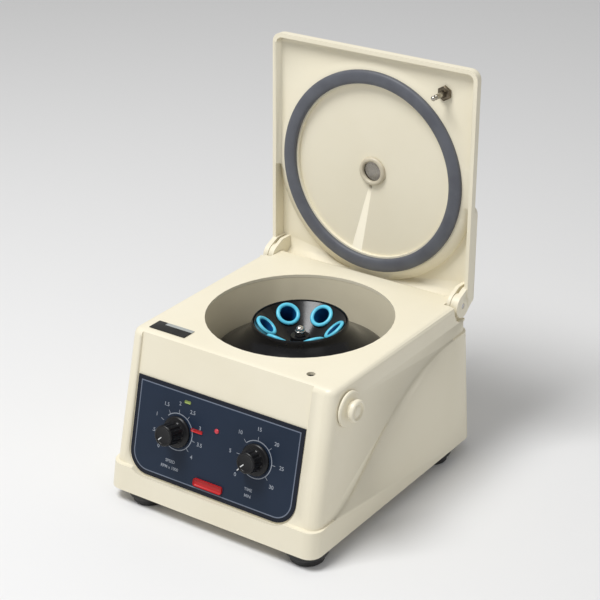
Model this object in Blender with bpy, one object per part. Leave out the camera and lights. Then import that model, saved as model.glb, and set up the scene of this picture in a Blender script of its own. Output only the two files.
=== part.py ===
"""A small six-place tube centrifuge with its lid open, as separate pieces.

Lengths are in metres, +Z is up and the control panel faces -Y. The pieces are laid out
around the rotor's axis, and one empty then puts them over the middle of their outline.
"""

import math

import bmesh
import bpy
from mathutils import Matrix, Vector

# Body shell: widths across X, reaches from the rotor's axis along Y
FOOT_HEIGHT = 0.013
BODY_HEIGHT = 0.1532
TOP_WIDTH = 0.2314
WALL_BASE_WIDTH = 0.2362
FACE_TOP_REACH = 0.1122
FACE_BASE_REACH = 0.1505
REAR_TOP_REACH = 0.1169
REAR_BASE_REACH = 0.1258
SIDE_WALL = 0.003
FACE_WALL = 0.0052
TOP_WALL = 0.003
CORNER_RADIUS = 0.010
TOP_EDGE_RADIUS = 0.0055

# Lower skirt, which stands proud of the walls under an S-shaped line
SKIRT_PROUD = 0.0024
SKIRT_FACE_PROUD = 0.0032
SKIRT_LEDGE_PROUD = 0.0047
SKIRT_CORNER_RADIUS = 0.013
SKIRT_FRONT_HEIGHT = 0.0245
SKIRT_REAR_HEIGHT = 0.121
CURVE_START_REACH = 0.118
CURVE_START_PULL = 0.043
CURVE_START_RISE = 0.004
CURVE_END_REACH = 0.090
CURVE_END_PULL = 0.115

# Bowl and its mouth
BOWL_RADIUS = 0.0912
BOWL_FLOOR_RADIUS = 0.0885
BOWL_DEPTH = 0.088
BOWL_WALL = 0.0025
BOWL_FLANGE = 0.007
BOWL_CORNER_RADIUS = 0.010
SEAL_RADIUS = 0.013
SEAL_HEIGHT = 0.007

# Lid, measured as closed, from its rim plane upwards
HINGE_REACH = 0.1103
HINGE_DROP = 0.0045
OPEN_ANGLE = math.radians(91.6)
LID_SEAM = 0.0015
LID_WIDTH = 0.2326
LID_TOP_WIDTH = 0.2306
LID_FRONT_MARGIN = 0.019
LID_REAR_REACH = 0.1174
LID_FRONT_HEIGHT = 0.0105
LID_REAR_HEIGHT = 0.017
LID_STEP_REACH = 0.009
LID_STEP_SLOPE = 0.003
LID_RIM = 0.0038
LID_FLOOR_DEPTH = 0.0075
LID_REAR_DEPTH = 0.0135
LID_SKIN = 0.003
LID_CORNER_RADIUS = 0.010
LID_EDGE_RADIUS = 0.0035
LID_TAIL_RISE = 0.0025
LID_TAIL_RUN = 0.0093
LID_DRAFT = 0.0015

# Hinge ears of the lid and the pockets they turn in
EAR_RADIUS = 0.012
EAR_NECK = 0.016
EAR_START_ANGLE = math.radians(208)
EAR_END_ANGLE = math.radians(412)
EAR_PLATE = 0.0052
EAR_INNER_PLATE = 0.0036
EAR_HALF_SPAN = 0.1156
LUG_THICKNESS = 0.0028
LUG_RADIUS = 0.0112
POCKET_RADIUS = 0.0163
POCKET_WALL = 0.0022
HINGE_PIN_RADIUS = 0.0025

# Gasket, its carrier ring and the window at the lid's middle
GASKET_INNER_RADIUS = 0.0895
GASKET_OUTER_RADIUS = 0.1029
CARRIER_INNER_RADIUS = 0.088
CARRIER_OUTER_RADIUS = 0.1045
CARRIER_DEPTH = 0.004
CARRIER_SLOPE = 0.0085
GASKET_SHOULDER_SHARE = 0.35
WINDOW_RADIUS = 0.0122
WINDOW_THICKNESS = 0.002
WINDOW_SIGHT_RADIUS = 0.010
WINDOW_RING_RADIUS = 0.0145
WINDOW_RING_HEIGHT = 0.0034

# Latch on the right: pin on the lid, knob on the side wall
LATCH_X = 0.0784
LATCH_FRONT_INSET = 0.0288
LATCH_PIN_RADIUS = 0.0025
LATCH_PIN_REACH = 0.0167
LATCH_PIN_ROOT = 0.0092
LATCH_NECK_RADIUS = 0.0013
LATCH_NECK_LENGTH = 0.003
LATCH_HEAD_LENGTH = 0.0027
LATCH_NUT_WIDTH = 0.013
LATCH_NUT_HEIGHT = 0.004
LATCH_HOLE_RADIUS = 0.0042
LATCH_AXIS_OFFSET = 0.0022
LATCH_AXIS_DROP = 0.0242
LATCH_SHAFT_RADIUS = 0.004
LATCH_SHAFT_END_X = 0.064
KNOB_FLANGE_RADIUS = 0.017
KNOB_FLANGE_HEIGHT = 0.003
KNOB_GRIP_RADIUS = 0.0108
KNOB_GRIP_HEIGHT = 0.0085
KNOB_DISH_SHARE = 0.72
CAM_RADIUS = 0.0146
CAM_RING_INNER_RADIUS = 0.0125
CAM_HUB_RADIUS = 0.0075
CAM_TINE = 0.0024
CAM_START_ANGLE = math.radians(28)
CAM_END_ANGLE = math.radians(124)
CAM_WEB_ANGLE = math.radians(12)
LOBE_WIDTH = 0.0046
LOBE_END_ANGLE = math.radians(110)
BRACKET_PLATE = 0.0025
BRACKET_DEPTH = 0.026
BRACKET_DROP = 0.047
BRACKET_LEFT_X = 0.0665
BRACKET_RIGHT_X = 0.0885
SWITCH_WIDTH = 0.006
SWITCH_LENGTH = 0.0198
SWITCH_HEIGHT = 0.010
PLUNGER_RADIUS = 0.0014
PLUNGER_RISE = 0.002
PLUNGER_LENGTH = 0.006

# Rotor, with heights below the body's top face
SLEEVE_COUNT = 6
SLEEVE_CIRCLE_RADIUS = 0.0317
SLEEVE_RIM_DROP = 0.013
SLEEVE_TILT = math.radians(40)
SLEEVE_START_ANGLE = math.radians(26)
SLEEVE_BORE_RADIUS = 0.0078
SLEEVE_RADIUS = 0.0094
SLEEVE_RIM_RADIUS = 0.012
SLEEVE_RIM_HEIGHT = 0.003
SLEEVE_LENGTH = 0.064
SLEEVE_FLOOR = 0.002
CROWN_RADIUS = 0.0445
HUB_RADIUS = 0.009
HUB_TOP_DROP = 0.022
HUB_BOTTOM_DROP = 0.079
ROTOR_REACH = 0.0855
ROTOR_SKIN = 0.003
SKIRT_SKIN = 0.0020
ROTOR_SKIRT_DROP = 0.060
SHAFT_RADIUS = 0.004
STUD_RADIUS = 0.003
STUD_LENGTH = 0.007
NUT_WIDTH = 0.010
NUT_HEIGHT = 0.005
NUT_DOME_HEIGHT = 0.0045
NUT_DOME_SHARE = 0.966
NUT_SIDES = 6

# Motor under the bowl, with heights above the base
MOTOR_RADIUS = 0.042
MOTOR_BOTTOM = 0.012
MOTOR_TOP = 0.0537
MOTOR_WALL = 0.0025
MOTOR_PLATE_RADIUS = 0.068
MOTOR_PLATE_THICKNESS = 0.002
BEARING_RADIUS = 0.011
BEARING_HEIGHT = 0.007
BEARING_SEAT_WALL = 0.0027
ARMATURE_RADIUS = 0.036
ARMATURE_BOTTOM = 0.026
ARMATURE_TOP = 0.0445
COMMUTATOR_RADIUS = 0.012
DAMPER_COUNT = 3
DAMPER_CIRCLE_RADIUS = 0.057
DAMPER_RADIUS = 0.008
DAMPER_HEIGHT = 0.0094
DAMPER_START_ANGLE = math.radians(90)
DAMPER_WAIST_SHARE = 0.8
DAMPER_SHARES = (0.0, 0.3, 0.4, 0.6, 0.7)
SCREW_RADIUS = 0.002
SCREW_HEAD_RADIUS = 0.0038
SCREW_HEAD_HEIGHT = 0.0026
MOTOR_SCREW_LENGTH = 0.024

# Base pan, feet and the screws that hold both
PAN_THICKNESS = 0.0025
POST_RADIUS = 0.007
BOSS_RADIUS = 0.0055
BOSS_HEIGHT = 0.036
RIB_THICKNESS = 0.003
FOOT_TOP_RADIUS = 0.020
FOOT_BOTTOM_RADIUS = 0.016
FOOT_RECESS_RADIUS = 0.0055
FOOT_RECESS_DEPTH = 0.005
FOOT_SCREW_LENGTH = 0.020
FOOT_SHOULDER_SHARE = 0.55
FOOT_RIGHT_INSET = 0.0186
FOOT_LEFT_INSET = 0.0331
FOOT_FRONT_INSET = 0.0175
FOOT_REAR_INSET = 0.0428
VENT_COUNT = 7
VENT_WIDTH = 0.003
VENT_LENGTH = 0.044
VENT_PITCH = 0.008
VENT_REAR_INSET = 0.0138

# Control panel, in the plane of the sloping face around the height of the dials
DIAL_HEIGHT = 0.0705
RECESS_DEPTH = 0.0022
RECESS_MARGIN = 0.0018
PANEL_CENTRE_X = -0.005
PANEL_HALF_WIDTH = 0.096
PANEL_TOP = 0.0433
PANEL_BOTTOM = 0.0515
PANEL_BOTTOM_RADIUS = 0.022
PANEL_TOP_RADIUS = 0.001
PANEL_THICKNESS = 0.001
SPEED_X = -0.049
TIMER_X = 0.0423
DIAL_SKIRT_RADIUS = 0.0155
DIAL_SKIRT_HEIGHT = 0.003
DIAL_GRIP_RADIUS = 0.0108
DIAL_GRIP_TAPER = 0.0008
SPEED_KNOB_HEIGHT = 0.0215
TIMER_KNOB_HEIGHT = 0.0165
DIAL_START_ANGLE = math.radians(135)
DIAL_FLUTES = 12
DIAL_FLUTE_RADIUS = 0.0014
DIAL_SHAFT_RADIUS = 0.003
DIAL_SHAFT_OUT = 0.015
POT_RADIUS = 0.012
POT_DEPTH = 0.014
BUSH_RADIUS = 0.0045
TIMER_SIZE = 0.042
TIMER_DEPTH = 0.032
LED_X = -0.0042
LED_HEIGHT = 0.0135
LED_RADIUS = 0.0025
LED_DEPTH = 0.009
LED_OUT = 0.0022
LED_TIP_SHARE = 0.7

# Label plate on the top, circuit board inside, power inlet at the rear
LABEL_CENTRE_X = -0.081
LABEL_CENTRE_Y = -0.0945
LABEL_LENGTH = 0.042
LABEL_WIDTH = 0.016
LABEL_THICKNESS = 0.0007
BOARD_CENTRE_X = -0.082
BOARD_CENTRE_Y = 0.020
BOARD_LENGTH = 0.090
BOARD_WIDTH = 0.048
BOARD_THICKNESS = 0.0016
STANDOFF_RADIUS = 0.003
STANDOFF_HEIGHT = 0.008
INLET_X = -0.055
INLET_HEIGHT = 0.046
INLET_WIDTH = 0.030
INLET_TALL = 0.028
INLET_DEPTH = 0.022
INLET_FLANGE = 0.005
INLET_FLANGE_THICKNESS = 0.002
FUSE_WIDTH = 0.022
FUSE_TALL = 0.009
FUSE_DEPTH = 0.014
SOCKET_DEPTH_SHARE = 0.8
CONTACT_PITCH_SHARE = 0.3
CONTACT_WIDTH = 0.0012
CONTACT_HEIGHT = 0.003

# Fits and facets
GAP = 0.0003
RUNNING_GAP = 0.0005
PAN_GAP = 0.0004
OVERRUN = 0.004
OVERLAP = 0.001
CORNER_STEPS = 5
EDGE_STEPS = 4
LARGE_STEPS = 48
ROUND_STEPS = 24
SMALL_STEPS = 12
SLEEVE_STEPS = 16
FLUTE_STEPS = 8
CURVE_STEPS = 18
SMOOTH_ANGLE = math.radians(32)

LID_FRONT_REACH = CARRIER_OUTER_RADIUS + LID_FRONT_MARGIN
LATCH_Y = LATCH_FRONT_INSET - LID_FRONT_REACH
LATCH_AXIS_Y = LATCH_Y + LATCH_AXIS_OFFSET
FOOT_RIGHT_X = WALL_BASE_WIDTH / 2 - FOOT_RIGHT_INSET
FOOT_LEFT_X = FOOT_LEFT_INSET - WALL_BASE_WIDTH / 2
FOOT_FRONT_Y = FOOT_FRONT_INSET - FACE_BASE_REACH
FOOT_REAR_Y = REAR_BASE_REACH - FOOT_REAR_INSET
VENT_Y = REAR_BASE_REACH - VENT_REAR_INSET - VENT_LENGTH / 2
BASE_Z = FOOT_HEIGHT
TOP_Z = BASE_Z + BODY_HEIGHT
HINGE_Z = TOP_Z - HINGE_DROP
RIM_ABOVE_HINGE = HINGE_DROP + LID_SEAM
LID_BACK_REACH = (
    HINGE_REACH
    + (RIM_ABOVE_HINGE + LID_REAR_HEIGHT) * math.sin(OPEN_ANGLE)
    - (HINGE_REACH - LID_STEP_REACH) * math.cos(OPEN_ANGLE)
)
SKIRT_FRONT_REACH = FACE_BASE_REACH + SKIRT_FACE_PROUD
AXIS_Y = (SKIRT_FRONT_REACH - LID_BACK_REACH) / 2
KNOB_STANDOFF = 3 * GAP
CONTROL_TOP = RECESS_DEPTH - FACE_WALL - GAP
FACE_TILT = math.atan2(FACE_BASE_REACH - FACE_TOP_REACH, BODY_HEIGHT)
# Colour, roughness and metallic share of each material
MATERIALS = {
    "cream_moulding": ((0.85, 0.79, 0.62), 0.38, 0.0),
    "grey_rubber": ((0.10, 0.115, 0.135), 0.6, 0.0),
    "black_rubber": ((0.012, 0.012, 0.012), 0.65, 0.0),
    "navy_panel": ((0.022, 0.035, 0.065), 0.42, 0.0),
    "black_moulding": ((0.010, 0.010, 0.012), 0.22, 0.0),
    "blue_sleeve": ((0.10, 0.52, 0.80), 0.45, 0.0),
    "steel": ((0.55, 0.55, 0.55), 0.3, 1.0),
    "zinc_plate": ((0.42, 0.42, 0.41), 0.45, 0.9),
    "dark_metal": ((0.16, 0.13, 0.10), 0.35, 0.9),
    "clear_window": ((0.62, 0.60, 0.58), 0.08, 0.0),
    "red_lamp": ((0.65, 0.03, 0.02), 0.2, 0.0),
    "board_green": ((0.02, 0.12, 0.05), 0.5, 0.0),
}


def clear_scene():
    """Removes what the file opened with."""
    for thing in list(bpy.data.objects):
        bpy.data.objects.remove(thing, do_unlink=True)


def make_material(name):
    """A plain Principled material from the table."""
    colour, roughness, metallic = MATERIALS[name]
    material = bpy.data.materials.new(name)
    material.use_nodes = True
    shader = material.node_tree.nodes["Principled BSDF"]
    shader.inputs["Base Color"].default_value = (*colour, 1.0)
    shader.inputs["Roughness"].default_value = roughness
    shader.inputs["Metallic"].default_value = metallic
    return material


def make_empty(name, location, parent=None, turn=(0.0, 0.0, 0.0)):
    """A frame for pieces that share a place or an axis."""
    empty = bpy.data.objects.new(name, None)
    empty.location = location
    empty.rotation_euler = turn
    empty.parent = parent
    bpy.context.scene.collection.objects.link(empty)
    return empty


def make_piece(name, bm, material, parent):
    """Puts a mesh into the scene, smooth where its faces meet gently."""
    mesh = bpy.data.meshes.new(name)
    bm.to_mesh(mesh)
    bm.free()
    mesh.shade_smooth()
    mesh.set_sharp_from_angle(angle=SMOOTH_ANGLE)
    mesh.materials.append(material)
    piece = bpy.data.objects.new(name, mesh)
    piece.parent = parent
    bpy.context.scene.collection.objects.link(piece)
    return piece


def combine(target, other, operation):
    """Cuts or joins another mesh, which then stays as a hidden helper."""
    modifier = target.modifiers.new(other.name, "BOOLEAN")
    modifier.operation = operation
    modifier.solver = "EXACT"
    modifier.object = other
    other.hide_render = True
    other.display_type = "WIRE"
    return target


def cut(target, *cutters):
    """Takes the cutters' shapes away from the target."""
    for cutter in cutters:
        combine(target, cutter, "DIFFERENCE")
    return target


def fuse(target, *additions):
    """Makes the additions one body with the target."""
    for addition in additions:
        combine(target, addition, "UNION")
    return target


def round_box(half_x, low_y, high_y, radius, steps=CORNER_STEPS):
    """Points of a rectangle with round corners, anticlockwise from above."""
    corners = (
        (half_x - radius, low_y + radius, -math.pi / 2),
        (half_x - radius, high_y - radius, 0),
        (-half_x + radius, high_y - radius, math.pi / 2),
        (-half_x + radius, low_y + radius, math.pi),
    )
    points = []
    for x, y, start in corners:
        for step in range(steps + 1):
            angle = start + math.pi / 2 * step / steps
            points.append((x + radius * math.cos(angle), y + radius * math.sin(angle)))
    return points


def add_loft(bm, rings):
    """Adds a closed mesh through rings of like count, from the lowest to the highest."""
    rows = [[bm.verts.new(point) for point in ring] for ring in rings]
    count = len(rows[0])
    for low, high in zip(rows, rows[1:]):
        for i in range(count):
            k = (i + 1) % count
            bm.faces.new((low[i], low[k], high[k], high[i]))
    bm.faces.new(list(reversed(rows[0])))
    bm.faces.new(rows[-1])


def lofted(name, rings, material, parent):
    """A solid through rings of points."""
    bm = bmesh.new()
    add_loft(bm, rings)
    return make_piece(name, bm, material, parent)


def add_turned(bm, outline, steps, place):
    """Adds an outline turned around the Z axis, then set in its place."""
    rows = []
    for radius, height in outline:
        if radius == 0:
            rows.append([bm.verts.new((0, 0, height))] * steps)
            continue
        angles = [math.tau * step / steps for step in range(steps)]
        rows.append([bm.verts.new((radius * math.cos(a), radius * math.sin(a), height)) for a in angles])
    for i, row in enumerate(rows):
        following = rows[(i + 1) % len(rows)]
        for k in range(steps):
            m = (k + 1) % steps
            corners = (row[k], row[m], following[m], following[k])
            face = list(dict.fromkeys(corners))
            if len(face) > 2:
                bm.faces.new(face)
    corners = list(dict.fromkeys(corner for row in rows for corner in row))
    bmesh.ops.transform(bm, matrix=place, verts=corners)


def turned(name, outline, material, parent, steps=ROUND_STEPS, places=(Matrix(),)):
    """Turns an outline of (radius, height) points, anticlockwise, around the Z axis of each place."""
    bm = bmesh.new()
    for place in places:
        add_turned(bm, outline, steps, place)
    return make_piece(name, bm, material, parent)


def extruded(name, outline, low, high, material, parent, axis="Z"):
    """Extrudes an outline between two places on an axis; it runs anticlockwise seen from that axis."""
    def place(a, b, c):
        return {"X": (c, a, b), "Y": (b, c, a), "Z": (a, b, c)}[axis]

    rings = [[place(a, b, level) for a, b in outline] for level in (low, high)]
    return lofted(name, rings, material, parent)


def blocks(name, corner_pairs, material, parent):
    """Plain boxes, each between two corners."""
    bm = bmesh.new()
    for low, high in corner_pairs:
        outline = [(low[0], low[1]), (high[0], low[1]), (high[0], high[1]), (low[0], high[1])]
        add_loft(bm, [[(x, y, level) for x, y in outline] for level in (low[2], high[2])])
    return make_piece(name, bm, material, parent)


def block(name, low, high, material, parent):
    """A plain box between two corners."""
    return blocks(name, [(low, high)], material, parent)


def circle(radius, steps=ROUND_STEPS, centre=(0.0, 0.0), start=0.0):
    """Points on a circle, anticlockwise."""
    angles = [start + math.tau * step / steps for step in range(steps)]
    return [(centre[0] + radius * math.cos(a), centre[1] + radius * math.sin(a)) for a in angles]


def arc(radius, start, end, steps, centre=(0.0, 0.0)):
    """Points on a stretch of a circle, from one angle to the other."""
    angles = [start + (end - start) * step / steps for step in range(steps + 1)]
    return [(centre[0] + radius * math.cos(a), centre[1] + radius * math.sin(a)) for a in angles]


def rod(name, radius, start, end, material, parent, steps=ROUND_STEPS):
    """A round bar between two points."""
    start, end = Vector(start), Vector(end)
    along = end - start
    place = Matrix.Translation(start) @ along.to_track_quat("Z", "Y").to_matrix().to_4x4()
    outline = [(0, 0), (radius, 0), (radius, along.length), (0, along.length)]
    return turned(name, outline, material, parent, steps, [place])


def posts(name, radius, low, high, centres, material, parent, steps=SMALL_STEPS):
    """Upright round bars of one size at several centres."""
    outline = [(0, low), (radius, low), (radius, high), (0, high)]
    places = [Matrix.Translation((x, y, 0)) for x, y in centres]
    return turned(name, outline, material, parent, steps, places)


def wall_half_width(height):
    """Half the width of the upper walls at a height above the base."""
    share = height / BODY_HEIGHT
    return (WALL_BASE_WIDTH + (TOP_WIDTH - WALL_BASE_WIDTH) * share) / 2


def face_reach(height):
    """How far the sloping face stands before the axis at a height above the base."""
    return FACE_BASE_REACH + (FACE_TOP_REACH - FACE_BASE_REACH) * height / BODY_HEIGHT


def rear_reach(height):
    """How far the rear wall stands behind the axis at a height above the base."""
    return REAR_BASE_REACH + (REAR_TOP_REACH - REAR_BASE_REACH) * height / BODY_HEIGHT


def axis_x():
    """Where the rotor's axis lies across X: the latch knob's overhang is shared between both sides."""
    wall = wall_half_width(BODY_HEIGHT - LATCH_AXIS_DROP) + KNOB_STANDOFF
    knob_end = wall + KNOB_FLANGE_HEIGHT + KNOB_GRIP_HEIGHT
    return (WALL_BASE_WIDTH / 2 + SKIRT_PROUD - knob_end) / 2


def body_ring(height, side_inset, face_inset, rear_inset, radius):
    """A ring of the body's outline, drawn in from the upper walls."""
    outline = round_box(
        wall_half_width(height) - side_inset,
        -face_reach(height) + face_inset,
        rear_reach(height) - rear_inset,
        radius,
    )
    return [(x, y, BASE_Z + height) for x, y in outline]


def skirt_line():
    """The S-shaped top line of the skirt, front to rear, as (y, height) points."""
    start = (-CURVE_START_REACH, SKIRT_FRONT_HEIGHT + CURVE_START_RISE / 2)
    first_pull = (-CURVE_START_REACH + CURVE_START_PULL, SKIRT_FRONT_HEIGHT + CURVE_START_RISE)
    second_pull = (CURVE_END_REACH - CURVE_END_PULL, SKIRT_REAR_HEIGHT)
    end = (CURVE_END_REACH, SKIRT_REAR_HEIGHT)
    points = []
    for step in range(CURVE_STEPS + 1):
        t = step / CURVE_STEPS
        weights = ((1 - t) ** 3, 3 * t * (1 - t) ** 2, 3 * t * t * (1 - t), t**3)
        knots = (start, first_pull, second_pull, end)
        points.append(tuple(sum(w * knot[i] for w, knot in zip(weights, knots)) for i in range(2)))
    return points


def make_skirt(material, parent):
    """The proud lower part of the shell: front band, side wings and rear."""
    rings = []
    for height in (0.0, SKIRT_FRONT_HEIGHT, SKIRT_REAR_HEIGHT + OVERRUN):
        band_share = min(height / SKIRT_FRONT_HEIGHT, 1.0)
        face_proud = SKIRT_FACE_PROUD + (SKIRT_LEDGE_PROUD - SKIRT_FACE_PROUD) * band_share
        rings.append(body_ring(height, -SKIRT_PROUD, -face_proud, -SKIRT_PROUD, SKIRT_CORNER_RADIUS))
    skirt = lofted("skirt", rings, material, parent)
    far = SKIRT_FRONT_REACH + OVERRUN
    ceiling = SKIRT_REAR_HEIGHT + 2 * OVERRUN
    outline = [(-far, SKIRT_FRONT_HEIGHT), *skirt_line(), (far, SKIRT_REAR_HEIGHT)]
    outline = [(y, BASE_Z + height) for y, height in outline]
    outline += [(far, BASE_Z + ceiling), (-far, BASE_Z + ceiling)]
    half = WALL_BASE_WIDTH / 2 + SKIRT_PROUD + OVERRUN
    return cut(skirt, extruded("above_skirt_line", outline, -half, half, material, parent, "X"))


def panel_outline(margin, top):
    """The U-shaped outline of the control panel, grown by a margin, up to a height on the face."""
    left = PANEL_CENTRE_X - PANEL_HALF_WIDTH - margin
    right = PANEL_CENTRE_X + PANEL_HALF_WIDTH + margin
    low = -PANEL_BOTTOM - margin
    radius = PANEL_BOTTOM_RADIUS + margin
    points = arc(radius, -math.pi, -math.pi / 2, EDGE_STEPS * 2, (left + radius, low + radius))
    points += arc(radius, -math.pi / 2, 0, EDGE_STEPS * 2, (right - radius, low + radius))
    radius = PANEL_TOP_RADIUS
    points += arc(radius, 0, math.pi / 2, 1, (right - radius, top - radius))
    return points + arc(radius, math.pi / 2, math.pi, 1, (left + radius, top - radius))


def foot_places():
    """Names and centres of the four feet."""
    return {
        "front_left": (FOOT_LEFT_X, FOOT_FRONT_Y),
        "front_right": (FOOT_RIGHT_X, FOOT_FRONT_Y),
        "rear_left": (FOOT_LEFT_X, FOOT_REAR_Y),
        "rear_right": (FOOT_RIGHT_X, FOOT_REAR_Y),
    }


def add_screw_bosses(housing, material, parent):
    """Bosses for the foot screws, each tied to the nearest wall by a rib."""
    low = BASE_Z + PAN_THICKNESS + 2 * GAP
    high = BASE_Z + BOSS_HEIGHT
    half = RIB_THICKNESS / 2
    ribs = []
    for x, y in foot_places().values():
        if y < 0:
            wall_y = -face_reach(BOSS_HEIGHT) + FACE_WALL / 2
            ribs.append(((x - half, wall_y, low), (x + half, y, high - OVERLAP)))
        else:
            wall_x = wall_half_width(BOSS_HEIGHT) - SIDE_WALL / 2
            near, far = sorted((x, math.copysign(wall_x, x)))
            ribs.append(((near, y - half, low), (far, y + half, high - OVERLAP)))
    centres = foot_places().values()
    fuse(housing, blocks("screw_ribs", ribs, material, parent))
    fuse(housing, posts("screw_bosses", BOSS_RADIUS, low, high, centres, material, parent))
    hole_top = low + FOOT_SCREW_LENGTH
    cut(housing, posts("boss_holes", SCREW_RADIUS + GAP, low - OVERRUN, hole_top, centres, material, parent))


def hinge_layers():
    """X of each face of the right hinge, from the outside in."""
    outer_in = EAR_HALF_SPAN - EAR_PLATE
    lug_out = outer_in - GAP
    lug_in = lug_out - LUG_THICKNESS
    inner_out = lug_in - GAP
    inner_in = inner_out - EAR_INNER_PLATE
    pocket_in = inner_in - GAP
    return outer_in, lug_out, lug_in, inner_out, inner_in, pocket_in


def mirrored_span(side, near, far):
    """The span between two places on one side, in rising order."""
    return sorted((side * near, side * far))


def hinge_pocket(side, housing, material, parent):
    """Builds one hinge pocket into the housing: a round well with a lug standing in it."""
    label = "left" if side < 0 else "right"
    _, lug_out, lug_in, _, _, pocket_in = hinge_layers()
    centre = (HINGE_REACH, HINGE_Z)
    outside = WALL_BASE_WIDTH / 2 + OVERRUN
    low, high = mirrored_span(side, pocket_in - POCKET_WALL, wall_half_width(BODY_HEIGHT) - OVERLAP)
    well_radius = POCKET_RADIUS + POCKET_WALL
    well_outline = arc(well_radius, math.pi, math.tau, SMALL_STEPS, centre)
    top = TOP_Z - OVERLAP
    well_outline = [(min(y, rear_reach(BODY_HEIGHT) - OVERLAP), z) for y, z in well_outline]
    well_outline += [(well_outline[-1][0], top), (well_outline[0][0], top)]
    well = extruded("well_" + label, well_outline, low, high, material, parent, "X")
    low, high = mirrored_span(side, pocket_in, outside)
    hollow = extruded(
        "hollow_" + label, circle(POCKET_RADIUS, ROUND_STEPS, centre), low, high, material, parent, "X"
    )
    low, high = mirrored_span(side, lug_in, lug_out)
    lug_outline = arc(LUG_RADIUS, 0, math.pi, SMALL_STEPS, centre)
    foot = HINGE_Z - POCKET_RADIUS - OVERLAP
    lug_outline += [(HINGE_REACH - LUG_RADIUS / 2, foot), (HINGE_REACH + LUG_RADIUS / 2, foot)]
    lug = extruded("lug_" + label, lug_outline, low, high, material, parent, "X")
    low, high = mirrored_span(side, pocket_in - POCKET_WALL - OVERRUN, outside)
    bore = rod(
        "pin_bore_" + label,
        HINGE_PIN_RADIUS + GAP,
        (low, *centre),
        (high, *centre),
        material,
        parent,
        SMALL_STEPS,
    )
    fuse(housing, well)
    cut(housing, hollow)
    fuse(housing, lug)
    cut(housing, bore)


def make_housing(material, parent, panel):
    """The moulded body shell."""
    rings = [body_ring(height, 0.0, 0.0, 0.0, CORNER_RADIUS) for height in (0.0, BODY_HEIGHT / 2)]
    for step in range(EDGE_STEPS + 1):
        angle = math.pi / 2 * step / EDGE_STEPS
        inset = TOP_EDGE_RADIUS * (1 - math.cos(angle))
        height = BODY_HEIGHT - TOP_EDGE_RADIUS * (1 - math.sin(angle))
        rings.append(body_ring(height, inset, inset, inset, CORNER_RADIUS - inset))
    housing = lofted("housing", rings, material, parent)
    fuse(housing, make_skirt(material, parent))
    cavity = [
        body_ring(height, SIDE_WALL, FACE_WALL, SIDE_WALL, CORNER_RADIUS - SIDE_WALL)
        for height in (-OVERRUN, BODY_HEIGHT - TOP_WALL)
    ]
    cut(housing, lofted("housing_cavity", cavity, material, parent))
    mouth = [(BOWL_RADIUS, TOP_Z - BODY_HEIGHT / 2), (BOWL_RADIUS, TOP_Z + OVERRUN)]
    mouth = [(0, mouth[0][1]), *mouth, (0, mouth[1][1])]
    cut(housing, turned("bowl_mouth", mouth, material, parent, LARGE_STEPS))
    top = (BODY_HEIGHT - DIAL_HEIGHT) / math.cos(FACE_TILT) + OVERRUN
    recess = extruded(
        "panel_recess", panel_outline(RECESS_MARGIN, top), 0.0, RECESS_DEPTH + 2 * OVERRUN, material, panel
    )
    cut(housing, recess)
    for x in (SPEED_X, TIMER_X):
        hole = rod(
            "bush_hole",
            BUSH_RADIUS + GAP,
            (x, 0, -FACE_WALL - OVERRUN),
            (x, 0, OVERRUN),
            material,
            panel,
            SMALL_STEPS,
        )
        cut(housing, hole)
    led_hole = rod(
        "led_hole",
        LED_RADIUS + GAP,
        (LED_X, LED_HEIGHT, -FACE_WALL - OVERRUN),
        (LED_X, LED_HEIGHT, OVERRUN),
        material,
        panel,
        SMALL_STEPS,
    )
    pin_hole = rod(
        "latch_pin_hole",
        LATCH_HOLE_RADIUS,
        (LATCH_X, LATCH_Y, TOP_Z - TOP_WALL - OVERRUN),
        (LATCH_X, LATCH_Y, TOP_Z + OVERRUN),
        material,
        parent,
        SMALL_STEPS,
    )
    axis_z = TOP_Z - LATCH_AXIS_DROP
    knob_hole = rod(
        "latch_shaft_hole",
        LATCH_SHAFT_RADIUS + RUNNING_GAP,
        (TOP_WIDTH / 2 - SIDE_WALL - OVERRUN, LATCH_AXIS_Y, axis_z),
        (TOP_WIDTH / 2 + OVERRUN, LATCH_AXIS_Y, axis_z),
        material,
        parent,
        SMALL_STEPS,
    )
    cut(housing, led_hole, pin_hole, knob_hole)
    for side in (-1, 1):
        hinge_pocket(side, housing, material, parent)
    add_screw_bosses(housing, material, parent)
    inlet_low = BASE_Z + INLET_HEIGHT - INLET_TALL / 2 - GAP
    inlet_high = BASE_Z + INLET_HEIGHT + INLET_TALL / 2 + GAP
    half = INLET_WIDTH / 2 + GAP
    opening = block(
        "inlet_opening",
        (INLET_X - half, REAR_TOP_REACH - INLET_DEPTH, inlet_low),
        (INLET_X + half, REAR_BASE_REACH + INLET_DEPTH, inlet_high),
        material,
        parent,
    )
    return cut(housing, opening)


def make_bowl(material, parent):
    """The rotor chamber, hung under the top by its flange."""
    top = TOP_Z - TOP_WALL - GAP
    floor = TOP_Z - BOWL_DEPTH
    seal_hole = SEAL_RADIUS - SEAL_HEIGHT / 4
    corner = (BOWL_FLOOR_RADIUS - BOWL_CORNER_RADIUS, floor + BOWL_CORNER_RADIUS)
    inside = arc(BOWL_CORNER_RADIUS, 0, -math.pi / 2, EDGE_STEPS, corner)
    outside = arc(BOWL_CORNER_RADIUS + BOWL_WALL, -math.pi / 2, 0, EDGE_STEPS, corner)
    outline = [
        (seal_hole, floor - BOWL_WALL),
        *outside,
        (BOWL_RADIUS + BOWL_WALL, top - BOWL_WALL),
        (BOWL_RADIUS + BOWL_FLANGE, top - BOWL_WALL),
        (BOWL_RADIUS + BOWL_FLANGE, top),
        (BOWL_RADIUS, top),
        *inside,
        (seal_hole, floor),
    ]
    return turned("bowl", outline, material, parent, LARGE_STEPS)


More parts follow.
